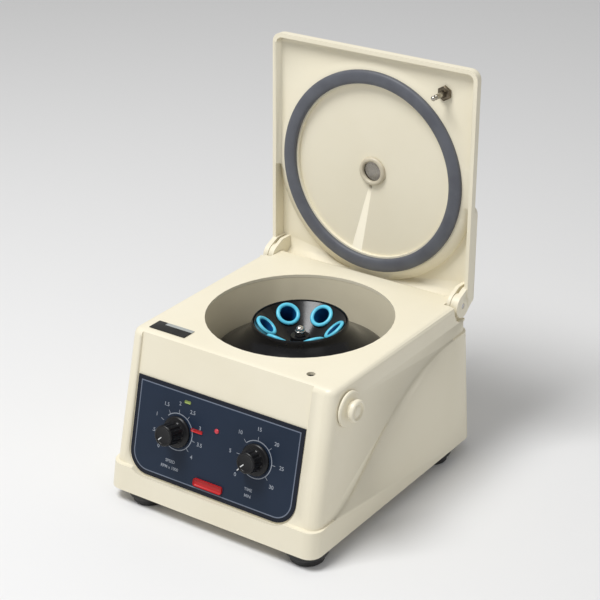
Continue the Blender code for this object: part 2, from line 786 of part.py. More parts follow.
def make_shaft_seal(material, parent):
    """The rubber ring that closes the bowl's floor around the shaft."""
    floor = TOP_Z - BOWL_DEPTH
    bore = SHAFT_RADIUS + RUNNING_GAP
    groove = SEAL_RADIUS - SEAL_HEIGHT / 4 - GAP
    lip = SEAL_HEIGHT / 4
    outline = [
        (bore, floor - BOWL_WALL - GAP - lip),
        (SEAL_RADIUS, floor - BOWL_WALL - GAP - lip),
        (SEAL_RADIUS, floor - BOWL_WALL - GAP),
        (groove, floor - BOWL_WALL - GAP),
        (groove, floor + GAP),
        (SEAL_RADIUS, floor + GAP),
        (bore + lip, floor + GAP + lip),
        (bore, floor + GAP + lip),
    ]
    return turned("shaft_seal", outline, material, parent)


def lid_ring(height, low_y, high_y, inset):
    """A ring of the lid's outside at a height over its rim plane."""
    half = (LID_WIDTH + (LID_TOP_WIDTH - LID_WIDTH) * height / LID_REAR_HEIGHT) / 2
    outline = round_box(half - inset, low_y + inset, high_y - inset, LID_CORNER_RADIUS - inset)
    return [(x, y, height) for x, y in outline]


def rounded_slab(name, height, low_y, high_y, step_slope, material, parent):
    """A slab with its upper edge rounded, whose front may lean back."""
    rings = [lid_ring(0.0, low_y, high_y, 0.0)]
    for step in range(EDGE_STEPS + 1):
        angle = math.pi / 2 * step / EDGE_STEPS
        level = height - LID_EDGE_RADIUS * (1 - math.sin(angle))
        inset = LID_EDGE_RADIUS * (1 - math.cos(angle))
        rings.append(lid_ring(level, low_y + step_slope, high_y, inset))
    return lofted(name, rings, material, parent)


def tail_outline(skin):
    """The lid's side outline behind its ears, drawn in by a skin, as (y, height) points."""
    low = (LID_REAR_REACH, LID_TAIL_RISE)
    high = (LID_REAR_REACH - LID_TAIL_RUN, LID_REAR_HEIGHT + OVERLAP)
    run, rise = low[0] - high[0], high[1] - low[1]
    length = math.hypot(run, rise)
    shift = (-skin * rise / length, -skin * run / length)
    slope = run / rise
    foot_y = low[0] + shift[0] + (low[1] + shift[1] + OVERRUN) * slope
    head = (high[0] + shift[0] - OVERRUN * slope, high[1] + shift[1] + OVERRUN)
    return (foot_y, -OVERRUN), head


def lid_cavity(material, parent):
    """What is hollow under the lid: a shallow front, a deeper rear, less the gasket's carrier."""
    rings = []
    for height, inset in ((-OVERRUN, LID_RIM), (LID_FLOOR_DEPTH, LID_RIM + LID_DRAFT)):
        half = LID_WIDTH / 2 - inset
        outline = round_box(half, -LID_FRONT_REACH + inset, HINGE_REACH, LID_CORNER_RADIUS - LID_RIM)
        rings.append([(x, y, height) for x, y in outline])
    cavity = lofted("lid_cavity", rings, material, parent)
    foot, head = tail_outline(LID_SKIN)
    top = LID_REAR_DEPTH
    share = (top - foot[1]) / (head[1] - foot[1])
    rear_top = foot[0] + (head[0] - foot[0]) * share
    front = LID_STEP_REACH + LID_STEP_SLOPE + LID_SKIN
    outline = [
        (front - LID_STEP_SLOPE, foot[1]),
        (foot[0], foot[1]),
        (rear_top, top),
        (front + LID_STEP_SLOPE, top),
    ]
    half = LID_WIDTH / 2 - LID_RIM
    rear = extruded("lid_rear_cavity", outline, -half, half, material, parent, "X")
    ceiling = LID_REAR_HEIGHT + OVERRUN
    carrier = [
        (0, LID_FLOOR_DEPTH),
        (CARRIER_INNER_RADIUS, LID_FLOOR_DEPTH),
        (CARRIER_INNER_RADIUS, CARRIER_DEPTH),
        (CARRIER_OUTER_RADIUS, CARRIER_DEPTH),
        (CARRIER_OUTER_RADIUS + CARRIER_SLOPE, LID_FLOOR_DEPTH + GAP),
        (CARRIER_OUTER_RADIUS + CARRIER_SLOPE, ceiling),
        (0, ceiling),
    ]
    fuse(cavity, rear)
    return cut(cavity, turned("gasket_carrier", carrier, material, parent, LARGE_STEPS))


def ear_outline():
    """Side view of a hinge ear on the closed lid, as (y, height) points from the rim plane."""
    axis = (HINGE_REACH, -RIM_ABOVE_HINGE)
    points = arc(EAR_RADIUS, EAR_START_ANGLE, EAR_END_ANGLE, SMALL_STEPS, axis)
    tail_top = LID_REAR_HEIGHT - LID_EDGE_RADIUS
    tail_share = (tail_top - LID_TAIL_RISE) / (LID_REAR_HEIGHT + OVERLAP - LID_TAIL_RISE)
    tail_y = LID_REAR_REACH - LID_TAIL_RUN * tail_share - LID_EDGE_RADIUS / 2
    points += [(tail_y, tail_top), (HINGE_REACH - EAR_NECK, tail_top)]
    return [*points, (HINGE_REACH - EAR_NECK, 0.0)]


def make_lid(material, parent):
    """The lid shell with its two pairs of hinge plates."""
    lid = rounded_slab(
        "lid", LID_FRONT_HEIGHT, -LID_FRONT_REACH, HINGE_REACH - EAR_NECK, 0.0, material, parent
    )
    hump_end = LID_REAR_REACH + OVERRUN
    hump = rounded_slab(
        "lid_hump", LID_REAR_HEIGHT, LID_STEP_REACH, hump_end, LID_STEP_SLOPE, material, parent
    )
    fuse(lid, hump)
    cut(lid, lid_cavity(material, parent))
    half = LID_WIDTH / 2 + OVERRUN
    foot, head = tail_outline(0.0)
    far = LID_REAR_REACH + 4 * OVERRUN
    behind = [(foot[0], foot[1]), (far, foot[1]), (far, head[1]), (head[0], head[1])]
    cut(lid, extruded("lid_tail_cut", behind, -half, half, material, parent, "X"))
    under = block(
        "lid_tail_foot_cut",
        (-half, HINGE_REACH - RIM_ABOVE_HINGE, -OVERRUN),
        (half, far, LID_TAIL_RISE),
        material,
        parent,
    )
    cut(lid, under)
    outer_in, _, _, inner_out, inner_in, _ = hinge_layers()
    for side in (-1, 1):
        for name, near, far_x in (("outer", outer_in, EAR_HALF_SPAN), ("inner", inner_in, inner_out)):
            low, high = mirrored_span(side, near, far_x)
            fuse(lid, extruded("ear_" + name, ear_outline(), low, high, material, parent, "X"))
        low, high = mirrored_span(side, inner_out, outer_in)
        groove = circle(LUG_RADIUS + GAP, ROUND_STEPS, (HINGE_REACH, -RIM_ABOVE_HINGE))
        cut(lid, extruded("lug_groove", groove, low, high, material, parent, "X"))
    reach = LID_WIDTH / 2 + OVERRUN
    axis = (HINGE_REACH, -RIM_ABOVE_HINGE)
    bore = rod(
        "lid_pin_bore", HINGE_PIN_RADIUS + GAP, (-reach, *axis), (reach, *axis), material, parent, SMALL_STEPS
    )
    seat_depth = LID_FLOOR_DEPTH + WINDOW_THICKNESS + 2 * GAP
    sight = [
        (0, LID_FLOOR_DEPTH - OVERRUN),
        (WINDOW_RADIUS + GAP, LID_FLOOR_DEPTH - OVERRUN),
        (WINDOW_RADIUS + GAP, seat_depth),
        (WINDOW_SIGHT_RADIUS, seat_depth),
        (WINDOW_SIGHT_RADIUS, LID_REAR_HEIGHT + OVERRUN),
        (0, LID_REAR_HEIGHT + OVERRUN),
    ]
    pin_hole = rod(
        "latch_pin_seat",
        LATCH_PIN_RADIUS + GAP,
        (LATCH_X, LATCH_Y, 0),
        (LATCH_X, LATCH_Y, LATCH_PIN_ROOT + GAP),
        material,
        parent,
        SMALL_STEPS,
    )
    return cut(lid, bore, turned("window_hole", sight, material, parent), pin_hole)


def make_gasket(material, parent):
    """The rubber ring that closes on the body's top around the bowl's mouth."""
    top = CARRIER_DEPTH - GAP
    bottom = -LID_SEAM + GAP
    middle = (GASKET_INNER_RADIUS + GASKET_OUTER_RADIUS) / 2
    half = (GASKET_OUTER_RADIUS - GASKET_INNER_RADIUS) / 2
    shoulder = (top - bottom) * GASKET_SHOULDER_SHARE
    outline = [(middle - half, top)]
    for step in range(2 * EDGE_STEPS - 1):
        angle = math.pi * step / (2 * EDGE_STEPS - 2)
        height = top - shoulder - (top - shoulder - bottom) * math.sin(angle)
        outline.append((middle - half * math.cos(angle), height))
    outline.append((middle + half, top))
    return turned("lid_gasket", outline, material, parent, LARGE_STEPS)


def make_window(glass, ring_material, parent):
    """The round sight window and the ring that holds it."""
    low = LID_FLOOR_DEPTH + GAP
    high = low + WINDOW_THICKNESS
    outline = [(0, low), (WINDOW_RADIUS, low), (WINDOW_RADIUS, high), (0, high)]
    turned("lid_window", outline, glass, parent)
    top = LID_FLOOR_DEPTH - GAP
    chamfer = WINDOW_RING_HEIGHT / 4
    ring = [
        (WINDOW_SIGHT_RADIUS, top - WINDOW_RING_HEIGHT + chamfer),
        (WINDOW_SIGHT_RADIUS + chamfer, top - WINDOW_RING_HEIGHT),
        (WINDOW_RING_RADIUS - chamfer, top - WINDOW_RING_HEIGHT),
        (WINDOW_RING_RADIUS, top - WINDOW_RING_HEIGHT + chamfer),
        (WINDOW_RING_RADIUS, top),
        (WINDOW_SIGHT_RADIUS, top),
    ]
    turned("window_ring", ring, ring_material, parent)


def make_latch_pin(material, parent):
    """The grooved pin that the latch catches, and its nut."""
    places = [Matrix.Translation((LATCH_X, LATCH_Y, 0))]
    tip = -LATCH_PIN_REACH
    shoulder = tip + LATCH_HEAD_LENGTH
    neck_top = shoulder + LATCH_NECK_LENGTH
    outline = [
        (0, tip),
        (LATCH_PIN_RADIUS / 2, tip),
        (LATCH_PIN_RADIUS, tip + LATCH_HEAD_LENGTH / 2),
        (LATCH_PIN_RADIUS, shoulder),
        (LATCH_NECK_RADIUS, shoulder),
        (LATCH_NECK_RADIUS, neck_top),
        (LATCH_PIN_RADIUS, neck_top),
        (LATCH_PIN_RADIUS, LATCH_PIN_ROOT),
        (0, LATCH_PIN_ROOT),
    ]
    turned("latch_pin", outline, material, parent, SMALL_STEPS, places)
    top = LID_FLOOR_DEPTH - GAP
    corner = LATCH_NUT_WIDTH / math.sqrt(3)
    centre = (LATCH_X, LATCH_Y)
    low = top - LATCH_NUT_HEIGHT
    nut = extruded("latch_nut", circle(corner, NUT_SIDES, centre), low, top, material, parent)
    hole = rod(
        "latch_nut_hole",
        LATCH_PIN_RADIUS + GAP,
        (*centre, low - OVERRUN),
        (*centre, top + OVERRUN),
        material,
        parent,
        SMALL_STEPS,
    )
    cut(nut, hole)


def make_hinge_pins(material, parent):
    """A pin on each side through the ears, the lug and the pocket's inner wall."""
    pocket_in = hinge_layers()[-1]
    for side, label in ((-1, "left"), (1, "right")):
        near, far = side * (pocket_in - POCKET_WALL), side * (EAR_HALF_SPAN - GAP)
        rod(
            "hinge_pin_" + label,
            HINGE_PIN_RADIUS,
            (near, HINGE_REACH, HINGE_Z),
            (far, HINGE_REACH, HINGE_Z),
            material,
            parent,
            SMALL_STEPS,
        )


def sleeve_places():
    """The frame of each sleeve at its rim, with +Z up the tube, leaning in to the rotor's axis."""
    places = []
    for index in range(SLEEVE_COUNT):
        angle = SLEEVE_START_ANGLE + math.tau * index / SLEEVE_COUNT
        turn = Matrix.Rotation(angle, 4, "Z") @ Matrix.Rotation(-SLEEVE_TILT, 4, "Y")
        out = Vector((SLEEVE_CIRCLE_RADIUS * math.cos(angle), SLEEVE_CIRCLE_RADIUS * math.sin(angle)))
        places.append(Matrix.Translation((out.x, out.y, -SLEEVE_RIM_DROP)) @ turn)
    return places


def make_sleeve(index, material, frame):
    """A tube sleeve, closed at its lower end, hanging by its rim."""
    depth = SLEEVE_LENGTH - SLEEVE_FLOOR
    rounding = SLEEVE_BORE_RADIUS / 2
    bottom = arc(SLEEVE_RADIUS - rounding, -math.pi / 2, 0, EDGE_STEPS)
    outline = [(0, -SLEEVE_LENGTH)]
    outline += [(r + rounding, h - SLEEVE_LENGTH + SLEEVE_RADIUS - rounding) for r, h in bottom]
    lip = SLEEVE_RIM_HEIGHT / 4
    outline += [
        (SLEEVE_RADIUS, -SLEEVE_RIM_HEIGHT),
        (SLEEVE_RIM_RADIUS, -SLEEVE_RIM_HEIGHT),
        (SLEEVE_RIM_RADIUS, -lip),
        (SLEEVE_RIM_RADIUS - lip, 0),
        (SLEEVE_BORE_RADIUS + lip, 0),
        (SLEEVE_BORE_RADIUS, -lip),
        (SLEEVE_BORE_RADIUS, -depth + rounding),
        (rounding, -depth),
        (0, -depth),
    ]
    turned(f"sleeve_{index + 1}", outline, material, frame, SLEEVE_STEPS)


def dish_height(radius):
    """Height of the rotor's dished top at a radius, square to the sleeves' axes."""
    seat = SLEEVE_RIM_HEIGHT + GAP
    seat_radius = SLEEVE_CIRCLE_RADIUS + seat * math.sin(SLEEVE_TILT)
    seat_height = -SLEEVE_RIM_DROP - seat * math.cos(SLEEVE_TILT)
    return seat_height + (radius - seat_radius) * math.tan(SLEEVE_TILT)


# Outside of the rotor's skirt: shares of the way out from the crown, and of the way down to the lower edge
SKIRT_SHARES = (
    (0.041, 0.001),
    (0.059, 0.031),
    (0.068, 0.079),
    (0.093, 0.139),
    (0.168, 0.214),
    (0.256, 0.293),
    (0.354, 0.373),
    (0.488, 0.457),
    (0.671, 0.541),
    (0.878, 0.613),
    (1.0, 0.672),
)


def skirt_outside():
    """The rotor's skirt from its crown outwards, as (radius, height) points."""
    crown = dish_height(CROWN_RADIUS)
    out, fall = ROTOR_REACH - CROWN_RADIUS, crown + ROTOR_SKIRT_DROP
    return [(CROWN_RADIUS + out * along, crown - fall * down) for along, down in SKIRT_SHARES]


def drawn_in(points, skin):
    """The inner points of a line of points, a skin away from it."""
    inner = []
    for before, point, after in zip(points, points[1:], points[2:]):
        run, drop = after[0] - before[0], before[1] - after[1]
        length = math.hypot(run, drop)
        inner.append((point[0] - skin * drop / length, point[1] - skin * run / length))
    return inner


def make_rotor_skirt(material, parent):
    """The flared skirt that covers the sleeves, held around the crown."""
    outside = skirt_outside()
    seat = CROWN_RADIUS + GAP
    crown = dish_height(CROWN_RADIUS)
    inside = [(max(radius, seat), height) for radius, height in drawn_in(outside, SKIRT_SKIN)]
    lip = SKIRT_SKIN / 3
    outline = [
        (ROTOR_REACH - SKIRT_SKIN, -ROTOR_SKIRT_DROP),
        (ROTOR_REACH, -ROTOR_SKIRT_DROP),
        *reversed(outside),
        (CROWN_RADIUS + 2 * lip, crown + lip),
        (seat, crown + lip),
        *inside,
        (ROTOR_REACH - SKIRT_SKIN, outside[-1][1] - SKIRT_SKIN),
    ]
    return turned("rotor_skirt", outline, material, parent, LARGE_STEPS)


def make_rotor(material, parent):
    """The rotor's head: a dish on a hub, with a seat for the rim of each sleeve."""
    bore = SHAFT_RADIUS + GAP
    hub_foot = HUB_RADIUS + ROTOR_SKIN
    crown = dish_height(CROWN_RADIUS)
    outline = [
        (bore, -HUB_BOTTOM_DROP),
        (hub_foot, -HUB_BOTTOM_DROP),
        (hub_foot, dish_height(hub_foot) - 2 * ROTOR_SKIN),
        (CROWN_RADIUS, crown - 2 * ROTOR_SKIN),
        (CROWN_RADIUS, crown),
        (hub_foot + ROTOR_SKIN, dish_height(hub_foot + ROTOR_SKIN)),
        (HUB_RADIUS + ROTOR_SKIN / 2, dish_height(hub_foot)),
        (HUB_RADIUS, -HUB_TOP_DROP),
        (bore, -HUB_TOP_DROP),
    ]
    rotor = turned("rotor", outline, material, parent, LARGE_STEPS)
    seat = SLEEVE_RIM_HEIGHT + GAP
    end = -SLEEVE_LENGTH / 4
    bore = [
        (0, end),
        (SLEEVE_RADIUS + GAP, end),
        (SLEEVE_RADIUS + GAP, -seat),
        (SLEEVE_RIM_RADIUS + GAP, -seat),
        (SLEEVE_RIM_RADIUS + GAP, OVERRUN),
        (0, OVERRUN),
    ]
    return cut(rotor, turned("sleeve_seats", bore, material, parent, SLEEVE_STEPS, sleeve_places()))


def make_rotor_nut(material, parent):
    """The domed nut that holds the rotor on its shaft."""
    low = -HUB_TOP_DROP + GAP
    corner = NUT_WIDTH / math.sqrt(3)
    nut = extruded("rotor_nut", circle(corner, NUT_SIDES), low, low + NUT_HEIGHT, material, parent)
    dome_radius = NUT_WIDTH / 2 * NUT_DOME_SHARE
    dome = [(0, low + NUT_HEIGHT / 2), (dome_radius, low + NUT_HEIGHT / 2)]
    for step in range(EDGE_STEPS + 1):
        angle = math.pi / 2 * step / EDGE_STEPS
        radius = dome_radius * math.cos(angle) if step < EDGE_STEPS else 0
        dome.append((radius, low + NUT_HEIGHT + NUT_DOME_HEIGHT * math.sin(angle)))
    fuse(nut, turned("nut_dome", dome, material, parent, SMALL_STEPS))
    hole = rod(
        "nut_bore",
        STUD_RADIUS + GAP,
        (0, 0, low - OVERRUN),
        (0, 0, low + STUD_LENGTH + GAP),
        material,
        parent,
        SMALL_STEPS,
    )
    return cut(nut, hole)


def make_shaft(material, parent):
    """The motor's shaft up to the stud in the nut, with heights from the body's top."""
    foot = -BODY_HEIGHT + MOTOR_BOTTOM + MOTOR_WALL + GAP
    shoulder = -HUB_TOP_DROP
    outline = [
        (0, foot),
        (SHAFT_RADIUS, foot),
        (SHAFT_RADIUS, shoulder),
        (STUD_RADIUS, shoulder),
        (STUD_RADIUS, shoulder + STUD_LENGTH),
        (0, shoulder + STUD_LENGTH),
    ]
    return turned("motor_shaft", outline, material, parent, SMALL_STEPS)


def make_armature(material, parent):
    """The wound armature and its commutator, on the shaft."""
    bore = SHAFT_RADIUS + GAP
    low = ARMATURE_BOTTOM - BODY_HEIGHT
    high = ARMATURE_TOP - BODY_HEIGHT
    foot = MOTOR_BOTTOM + MOTOR_WALL + BEARING_HEIGHT + 3 * GAP - BODY_HEIGHT
    outline = [
        (bore, foot),
        (COMMUTATOR_RADIUS, foot),
        (COMMUTATOR_RADIUS, low),
        (ARMATURE_RADIUS, low),
        (ARMATURE_RADIUS, high),
        (bore, high),
    ]
    return turned("motor_armature", outline, material, parent)


def make_motor(steel, parent):
    """The motor's can and end bell with a ball bearing in each."""
    low, high = BASE_Z + MOTOR_BOTTOM, BASE_Z + MOTOR_TOP
    seat = BEARING_RADIUS + GAP
    seat_out = seat + BEARING_SEAT_WALL
    inside = MOTOR_RADIUS - MOTOR_WALL
    bell_top = low + MOTOR_WALL
    can = [
        (seat, high - BEARING_HEIGHT - GAP),
        (seat_out, high - BEARING_HEIGHT - GAP),
        (seat_out, high - MOTOR_WALL),
        (inside, high - MOTOR_WALL),
        (inside, bell_top + GAP),
        (MOTOR_RADIUS, bell_top + GAP),
        (MOTOR_RADIUS, high),
        (seat, high),
    ]
    turned("motor_can", can, steel, parent)
    bell = [
        (0, low),
        (MOTOR_RADIUS, low),
        (MOTOR_RADIUS, bell_top),
        (seat_out, bell_top),
        (seat_out, bell_top + BEARING_HEIGHT),
        (seat, bell_top + BEARING_HEIGHT),
        (seat, bell_top),
        (0, bell_top),
    ]
    turned("motor_end_bell", bell, steel, parent)
    bore = SHAFT_RADIUS + GAP
    for name, floor in (("upper", high - BEARING_HEIGHT), ("lower", bell_top + GAP)):
        ring = [
            (bore, floor),
            (BEARING_RADIUS, floor),
            (BEARING_RADIUS, floor + BEARING_HEIGHT - GAP),
            (bore, floor + BEARING_HEIGHT - GAP),
        ]
        turned("motor_bearing_" + name, ring, steel, parent, SMALL_STEPS)


def damper_places():
    """Centres of the motor's dampers."""
    step = math.tau / DAMPER_COUNT
    angles = [DAMPER_START_ANGLE + step * i for i in range(DAMPER_COUNT)]
    return [(DAMPER_CIRCLE_RADIUS * math.cos(a), DAMPER_CIRCLE_RADIUS * math.sin(a)) for a in angles]


def make_motor_mount(steel, rubber, parent):
    """The plate that carries the motor, on rubber dampers with a screw through each."""
    plate_low = BASE_Z + MOTOR_TOP + GAP
    plate_high = plate_low + MOTOR_PLATE_THICKNESS
    plate = extruded("motor_plate", circle(MOTOR_PLATE_RADIUS), plate_low, plate_high, steel, parent)
    middle = rod(
        "plate_middle_hole",
        BEARING_RADIUS - BEARING_SEAT_WALL,
        (0, 0, plate_low - OVERRUN),
        (0, 0, plate_high + OVERRUN),
        steel,
        parent,
        SMALL_STEPS,
    )
    cut(plate, middle)
    centres = damper_places()
    hole_low, hole_high = plate_low - OVERRUN, plate_high + OVERRUN
    cut(plate, posts("plate_holes", SCREW_RADIUS + GAP, hole_low, hole_high, centres, steel, parent))
    damper_high = plate_low - GAP
    damper_low = damper_high - DAMPER_HEIGHT
    waist = DAMPER_RADIUS * DAMPER_WAIST_SHARE
    damper_outline = [(SCREW_RADIUS + GAP, damper_low)]
    damper_outline += [
        (radius, damper_low + DAMPER_HEIGHT * share)
        for radius, share in zip((DAMPER_RADIUS, DAMPER_RADIUS, waist, waist, DAMPER_RADIUS), DAMPER_SHARES)
    ]
    damper_outline += [(DAMPER_RADIUS, damper_high), (SCREW_RADIUS + GAP, damper_high)]
    head = plate_high + GAP
    screw_outline = [
        (0, head - MOTOR_SCREW_LENGTH),
        (SCREW_RADIUS, head - MOTOR_SCREW_LENGTH),
        (SCREW_RADIUS, head),
        (SCREW_HEAD_RADIUS, head),
        (SCREW_HEAD_RADIUS, head + SCREW_HEAD_HEIGHT / 2),
        (SCREW_HEAD_RADIUS / 2, head + SCREW_HEAD_HEIGHT),
        (0, head + SCREW_HEAD_HEIGHT),
    ]
    for index, (x, y) in enumerate(centres):
        places = [Matrix.Translation((x, y, 0))]
        turned(f"motor_damper_{index + 1}", damper_outline, rubber, parent, SMALL_STEPS, places)
        turned(f"motor_screw_{index + 1}", screw_outline, steel, parent, SMALL_STEPS, places)


def pan_standoffs():
    """Centres of the circuit board's four standoffs."""
    across = BOARD_WIDTH / 2 - 2 * STANDOFF_RADIUS
    along = BOARD_LENGTH / 2 - 2 * STANDOFF_RADIUS
    return [(BOARD_CENTRE_X + i * across, BOARD_CENTRE_Y + k * along) for i in (-1, 1) for k in (-1, 1)]


def make_base_pan(material, parent):
    """The floor of the body, with the motor's posts and the board's standoffs."""
    rings = []
    for height in (GAP, GAP + PAN_THICKNESS):
        inset = SIDE_WALL + PAN_GAP
        rings.append(body_ring(height, inset, FACE_WALL + PAN_GAP, inset, CORNER_RADIUS - SIDE_WALL))
    pan = lofted("base_pan", rings, material, parent)
    floor = BASE_Z + GAP + PAN_THICKNESS
    post_top = BASE_Z + MOTOR_TOP - DAMPER_HEIGHT - GAP
    screw_end = BASE_Z + MOTOR_TOP + 2 * GAP + MOTOR_PLATE_THICKNESS - MOTOR_SCREW_LENGTH
    post_outline = [
        (0, floor - OVERLAP),
        (POST_RADIUS, floor - OVERLAP),
        (POST_RADIUS, post_top),
        (SCREW_RADIUS + GAP, post_top),
        (SCREW_RADIUS + GAP, screw_end - GAP),
        (0, screw_end - GAP),
    ]
    places = [Matrix.Translation((x, y, 0)) for x, y in damper_places()]
    fuse(pan, turned("motor_posts", post_outline, material, parent, SMALL_STEPS, places))
    top = floor + STANDOFF_HEIGHT
    fuse(pan, posts("standoffs", STANDOFF_RADIUS, floor - OVERLAP, top, pan_standoffs(), material, parent))
    low, high = BASE_Z - OVERRUN, floor + OVERRUN
    centres = foot_places().values()
    cut(pan, posts("pan_screw_holes", SCREW_RADIUS + GAP, low, high, centres, material, parent))
    half = VENT_WIDTH / 2
    near, far = VENT_Y - VENT_LENGTH / 2, VENT_Y + VENT_LENGTH / 2
    middles = [(index - (VENT_COUNT - 1) / 2) * VENT_PITCH for index in range(VENT_COUNT)]
    vents = [((x - half, near, low), (x + half, far, high)) for x in middles]
    return cut(pan, blocks("vents", vents, material, parent))


def make_feet(rubber, steel, parent):
    """Four tapered rubber feet, each with its screw up through the pan into the housing."""
    top = BASE_Z - GAP
    seat = FOOT_RECESS_DEPTH
    for name, (x, y) in foot_places().items():
        places = [Matrix.Translation((x, y, 0))]
        outline = [
            (FOOT_RECESS_RADIUS, 0),
            (FOOT_BOTTOM_RADIUS, 0),
            (FOOT_TOP_RADIUS, top * FOOT_SHOULDER_SHARE),
            (FOOT_TOP_RADIUS, top),
            (SCREW_RADIUS + GAP, top),
            (SCREW_RADIUS + GAP, seat),
            (FOOT_RECESS_RADIUS, seat),
        ]
        turned("foot_" + name, outline, rubber, parent, ROUND_STEPS, places)
        head = seat - GAP
        tip = BASE_Z + FOOT_SCREW_LENGTH
        screw = [
            (0, head - SCREW_HEAD_HEIGHT),
            (SCREW_HEAD_RADIUS, head - SCREW_HEAD_HEIGHT),
            (SCREW_HEAD_RADIUS, head),
            (SCREW_RADIUS, head),
            (SCREW_RADIUS, tip),
            (0, tip),
        ]
        turned("foot_screw_" + name, screw, steel, parent, SMALL_STEPS, places)


def make_panel(material, panel):
    """The thin control panel on the floor of its recess."""
    outline = panel_outline(0.0, PANEL_TOP)
    overlay = extruded("control_panel", outline, GAP, GAP + PANEL_THICKNESS, material, panel)
    holes = [(SPEED_X, 0.0, BUSH_RADIUS + RUNNING_GAP), (TIMER_X, 0.0, BUSH_RADIUS + RUNNING_GAP)]
    holes.append((LED_X, LED_HEIGHT, LED_RADIUS + GAP))
    for x, y, radius in holes:
        hole = rod("panel_hole", radius, (x, y, -OVERRUN), (x, y, OVERRUN), material, panel, SMALL_STEPS)
        cut(overlay, hole)
    return overlay


def make_led(material, panel):
    """The indicator lamp, pushed through the panel."""
    outline = [
        (0, -LED_DEPTH),
        (LED_RADIUS, -LED_DEPTH),
        (LED_RADIUS, LED_OUT - LED_RADIUS / 2),
        (LED_RADIUS * LED_TIP_SHARE, LED_OUT),
        (0, LED_OUT + LED_RADIUS / 4),
    ]
    places = [Matrix.Translation((LED_X, LED_HEIGHT, 0))]
    return turned("panel_lamp", outline, material, panel, SMALL_STEPS, places)


def make_dial(name, height, pointer_height, material, frame):
    """A fluted control knob on a skirt, with a pointer fin up to a height."""
    low = GAP + PANEL_THICKNESS + GAP
    skirt_top = low + DIAL_SKIRT_HEIGHT
    top = low + height
    bevel = DIAL_SKIRT_HEIGHT / 3
    outline = [
        (0, low),
        (DIAL_SKIRT_RADIUS, low),
        (DIAL_SKIRT_RADIUS, skirt_top - bevel),
        (DIAL_SKIRT_RADIUS - bevel, skirt_top),
        (DIAL_GRIP_RADIUS, skirt_top),
        (DIAL_GRIP_RADIUS - DIAL_GRIP_TAPER, top - bevel),
        (DIAL_GRIP_RADIUS - DIAL_GRIP_TAPER - bevel, top),
        (0, top),
    ]
    knob = turned(name, outline, material, frame)
    tab = [
        (-bevel, DIAL_GRIP_RADIUS / 2),
        (bevel, DIAL_GRIP_RADIUS / 2),
        (bevel, DIAL_SKIRT_RADIUS + bevel),
        (-bevel, DIAL_SKIRT_RADIUS + bevel),
    ]
    fuse(knob, extruded(name + "_tab", tab, low + GAP, low + pointer_height, material, frame))
    reach = DIAL_GRIP_RADIUS + DIAL_FLUTE_RADIUS / 3
    flutes = circle(reach, DIAL_FLUTES, start=math.pi / DIAL_FLUTES)
    low_cut, high_cut = skirt_top + bevel, top + OVERRUN
    flute_cut = posts(
        name + "_flutes", DIAL_FLUTE_RADIUS, low_cut, high_cut, flutes, material, frame, FLUTE_STEPS
    )
    cut(knob, flute_cut)
    hole = rod(
        name + "_bore",
        DIAL_SHAFT_RADIUS + GAP,
        (0, 0, low - OVERRUN),
        (0, 0, DIAL_SHAFT_OUT + GAP),
        material,
        frame,
        SMALL_STEPS,
    )
    return cut(knob, hole)


def make_dial_shaft(name, depth, material, frame):
    """A control's spindle, from its body out into the knob."""
    start = CONTROL_TOP - depth + 2 * RUNNING_GAP
    return rod(name, DIAL_SHAFT_RADIUS, (0, 0, start), (0, 0, DIAL_SHAFT_OUT), material, frame, SMALL_STEPS)


def make_potentiometer(material, frame):
    """The speed control behind the panel, round, with its bush through the wall."""
    bore = DIAL_SHAFT_RADIUS + GAP
    outline = [
        (bore, CONTROL_TOP - POT_DEPTH),
        (POT_RADIUS, CONTROL_TOP - POT_DEPTH),
        (POT_RADIUS, CONTROL_TOP),
        (BUSH_RADIUS, CONTROL_TOP),
        (BUSH_RADIUS, PANEL_THICKNESS),
        (bore, PANEL_THICKNESS),
    ]
    return turned("speed_potentiometer", outline, material, frame, SMALL_STEPS)


def make_timer(material, frame):
    """The clockwork timer behind the panel, square, with its bush through the wall."""
    half = TIMER_SIZE / 2
    back = CONTROL_TOP - TIMER_DEPTH
    timer = block("timer_mechanism", (-half, -half, back), (half, half, CONTROL_TOP), material, frame)
    bush_start, bush_end = (0, 0, CONTROL_TOP - OVERLAP), (0, 0, PANEL_THICKNESS)
    fuse(timer, rod("timer_bush", BUSH_RADIUS, bush_start, bush_end, material, frame, SMALL_STEPS))
    bore = rod(
        "timer_bore",
        DIAL_SHAFT_RADIUS + GAP,
        (0, 0, back - OVERRUN),
        (0, 0, PANEL_THICKNESS + OVERRUN),
        material,
        frame,
        SMALL_STEPS,
    )
    return cut(timer, bore)


def latch_knob_outline():
    """The latch knob's outline as (radius, distance from the wall)."""
    rim = KNOB_FLANGE_HEIGHT / 3
    dish = KNOB_GRIP_RADIUS * KNOB_DISH_SHARE
    grip_top = KNOB_FLANGE_HEIGHT + KNOB_GRIP_HEIGHT
    return [
        (0, 0),
        (KNOB_FLANGE_RADIUS, 0),
        (KNOB_FLANGE_RADIUS, KNOB_FLANGE_HEIGHT - rim),
        (KNOB_FLANGE_RADIUS - rim, KNOB_FLANGE_HEIGHT),
        (KNOB_GRIP_RADIUS - rim, KNOB_FLANGE_HEIGHT),
        (KNOB_GRIP_RADIUS, grip_top - rim),
        (KNOB_GRIP_RADIUS - rim, grip_top),
        (dish, grip_top),
        (dish - rim, grip_top - 2 * rim),
        (0, grip_top - 2 * rim),
    ]


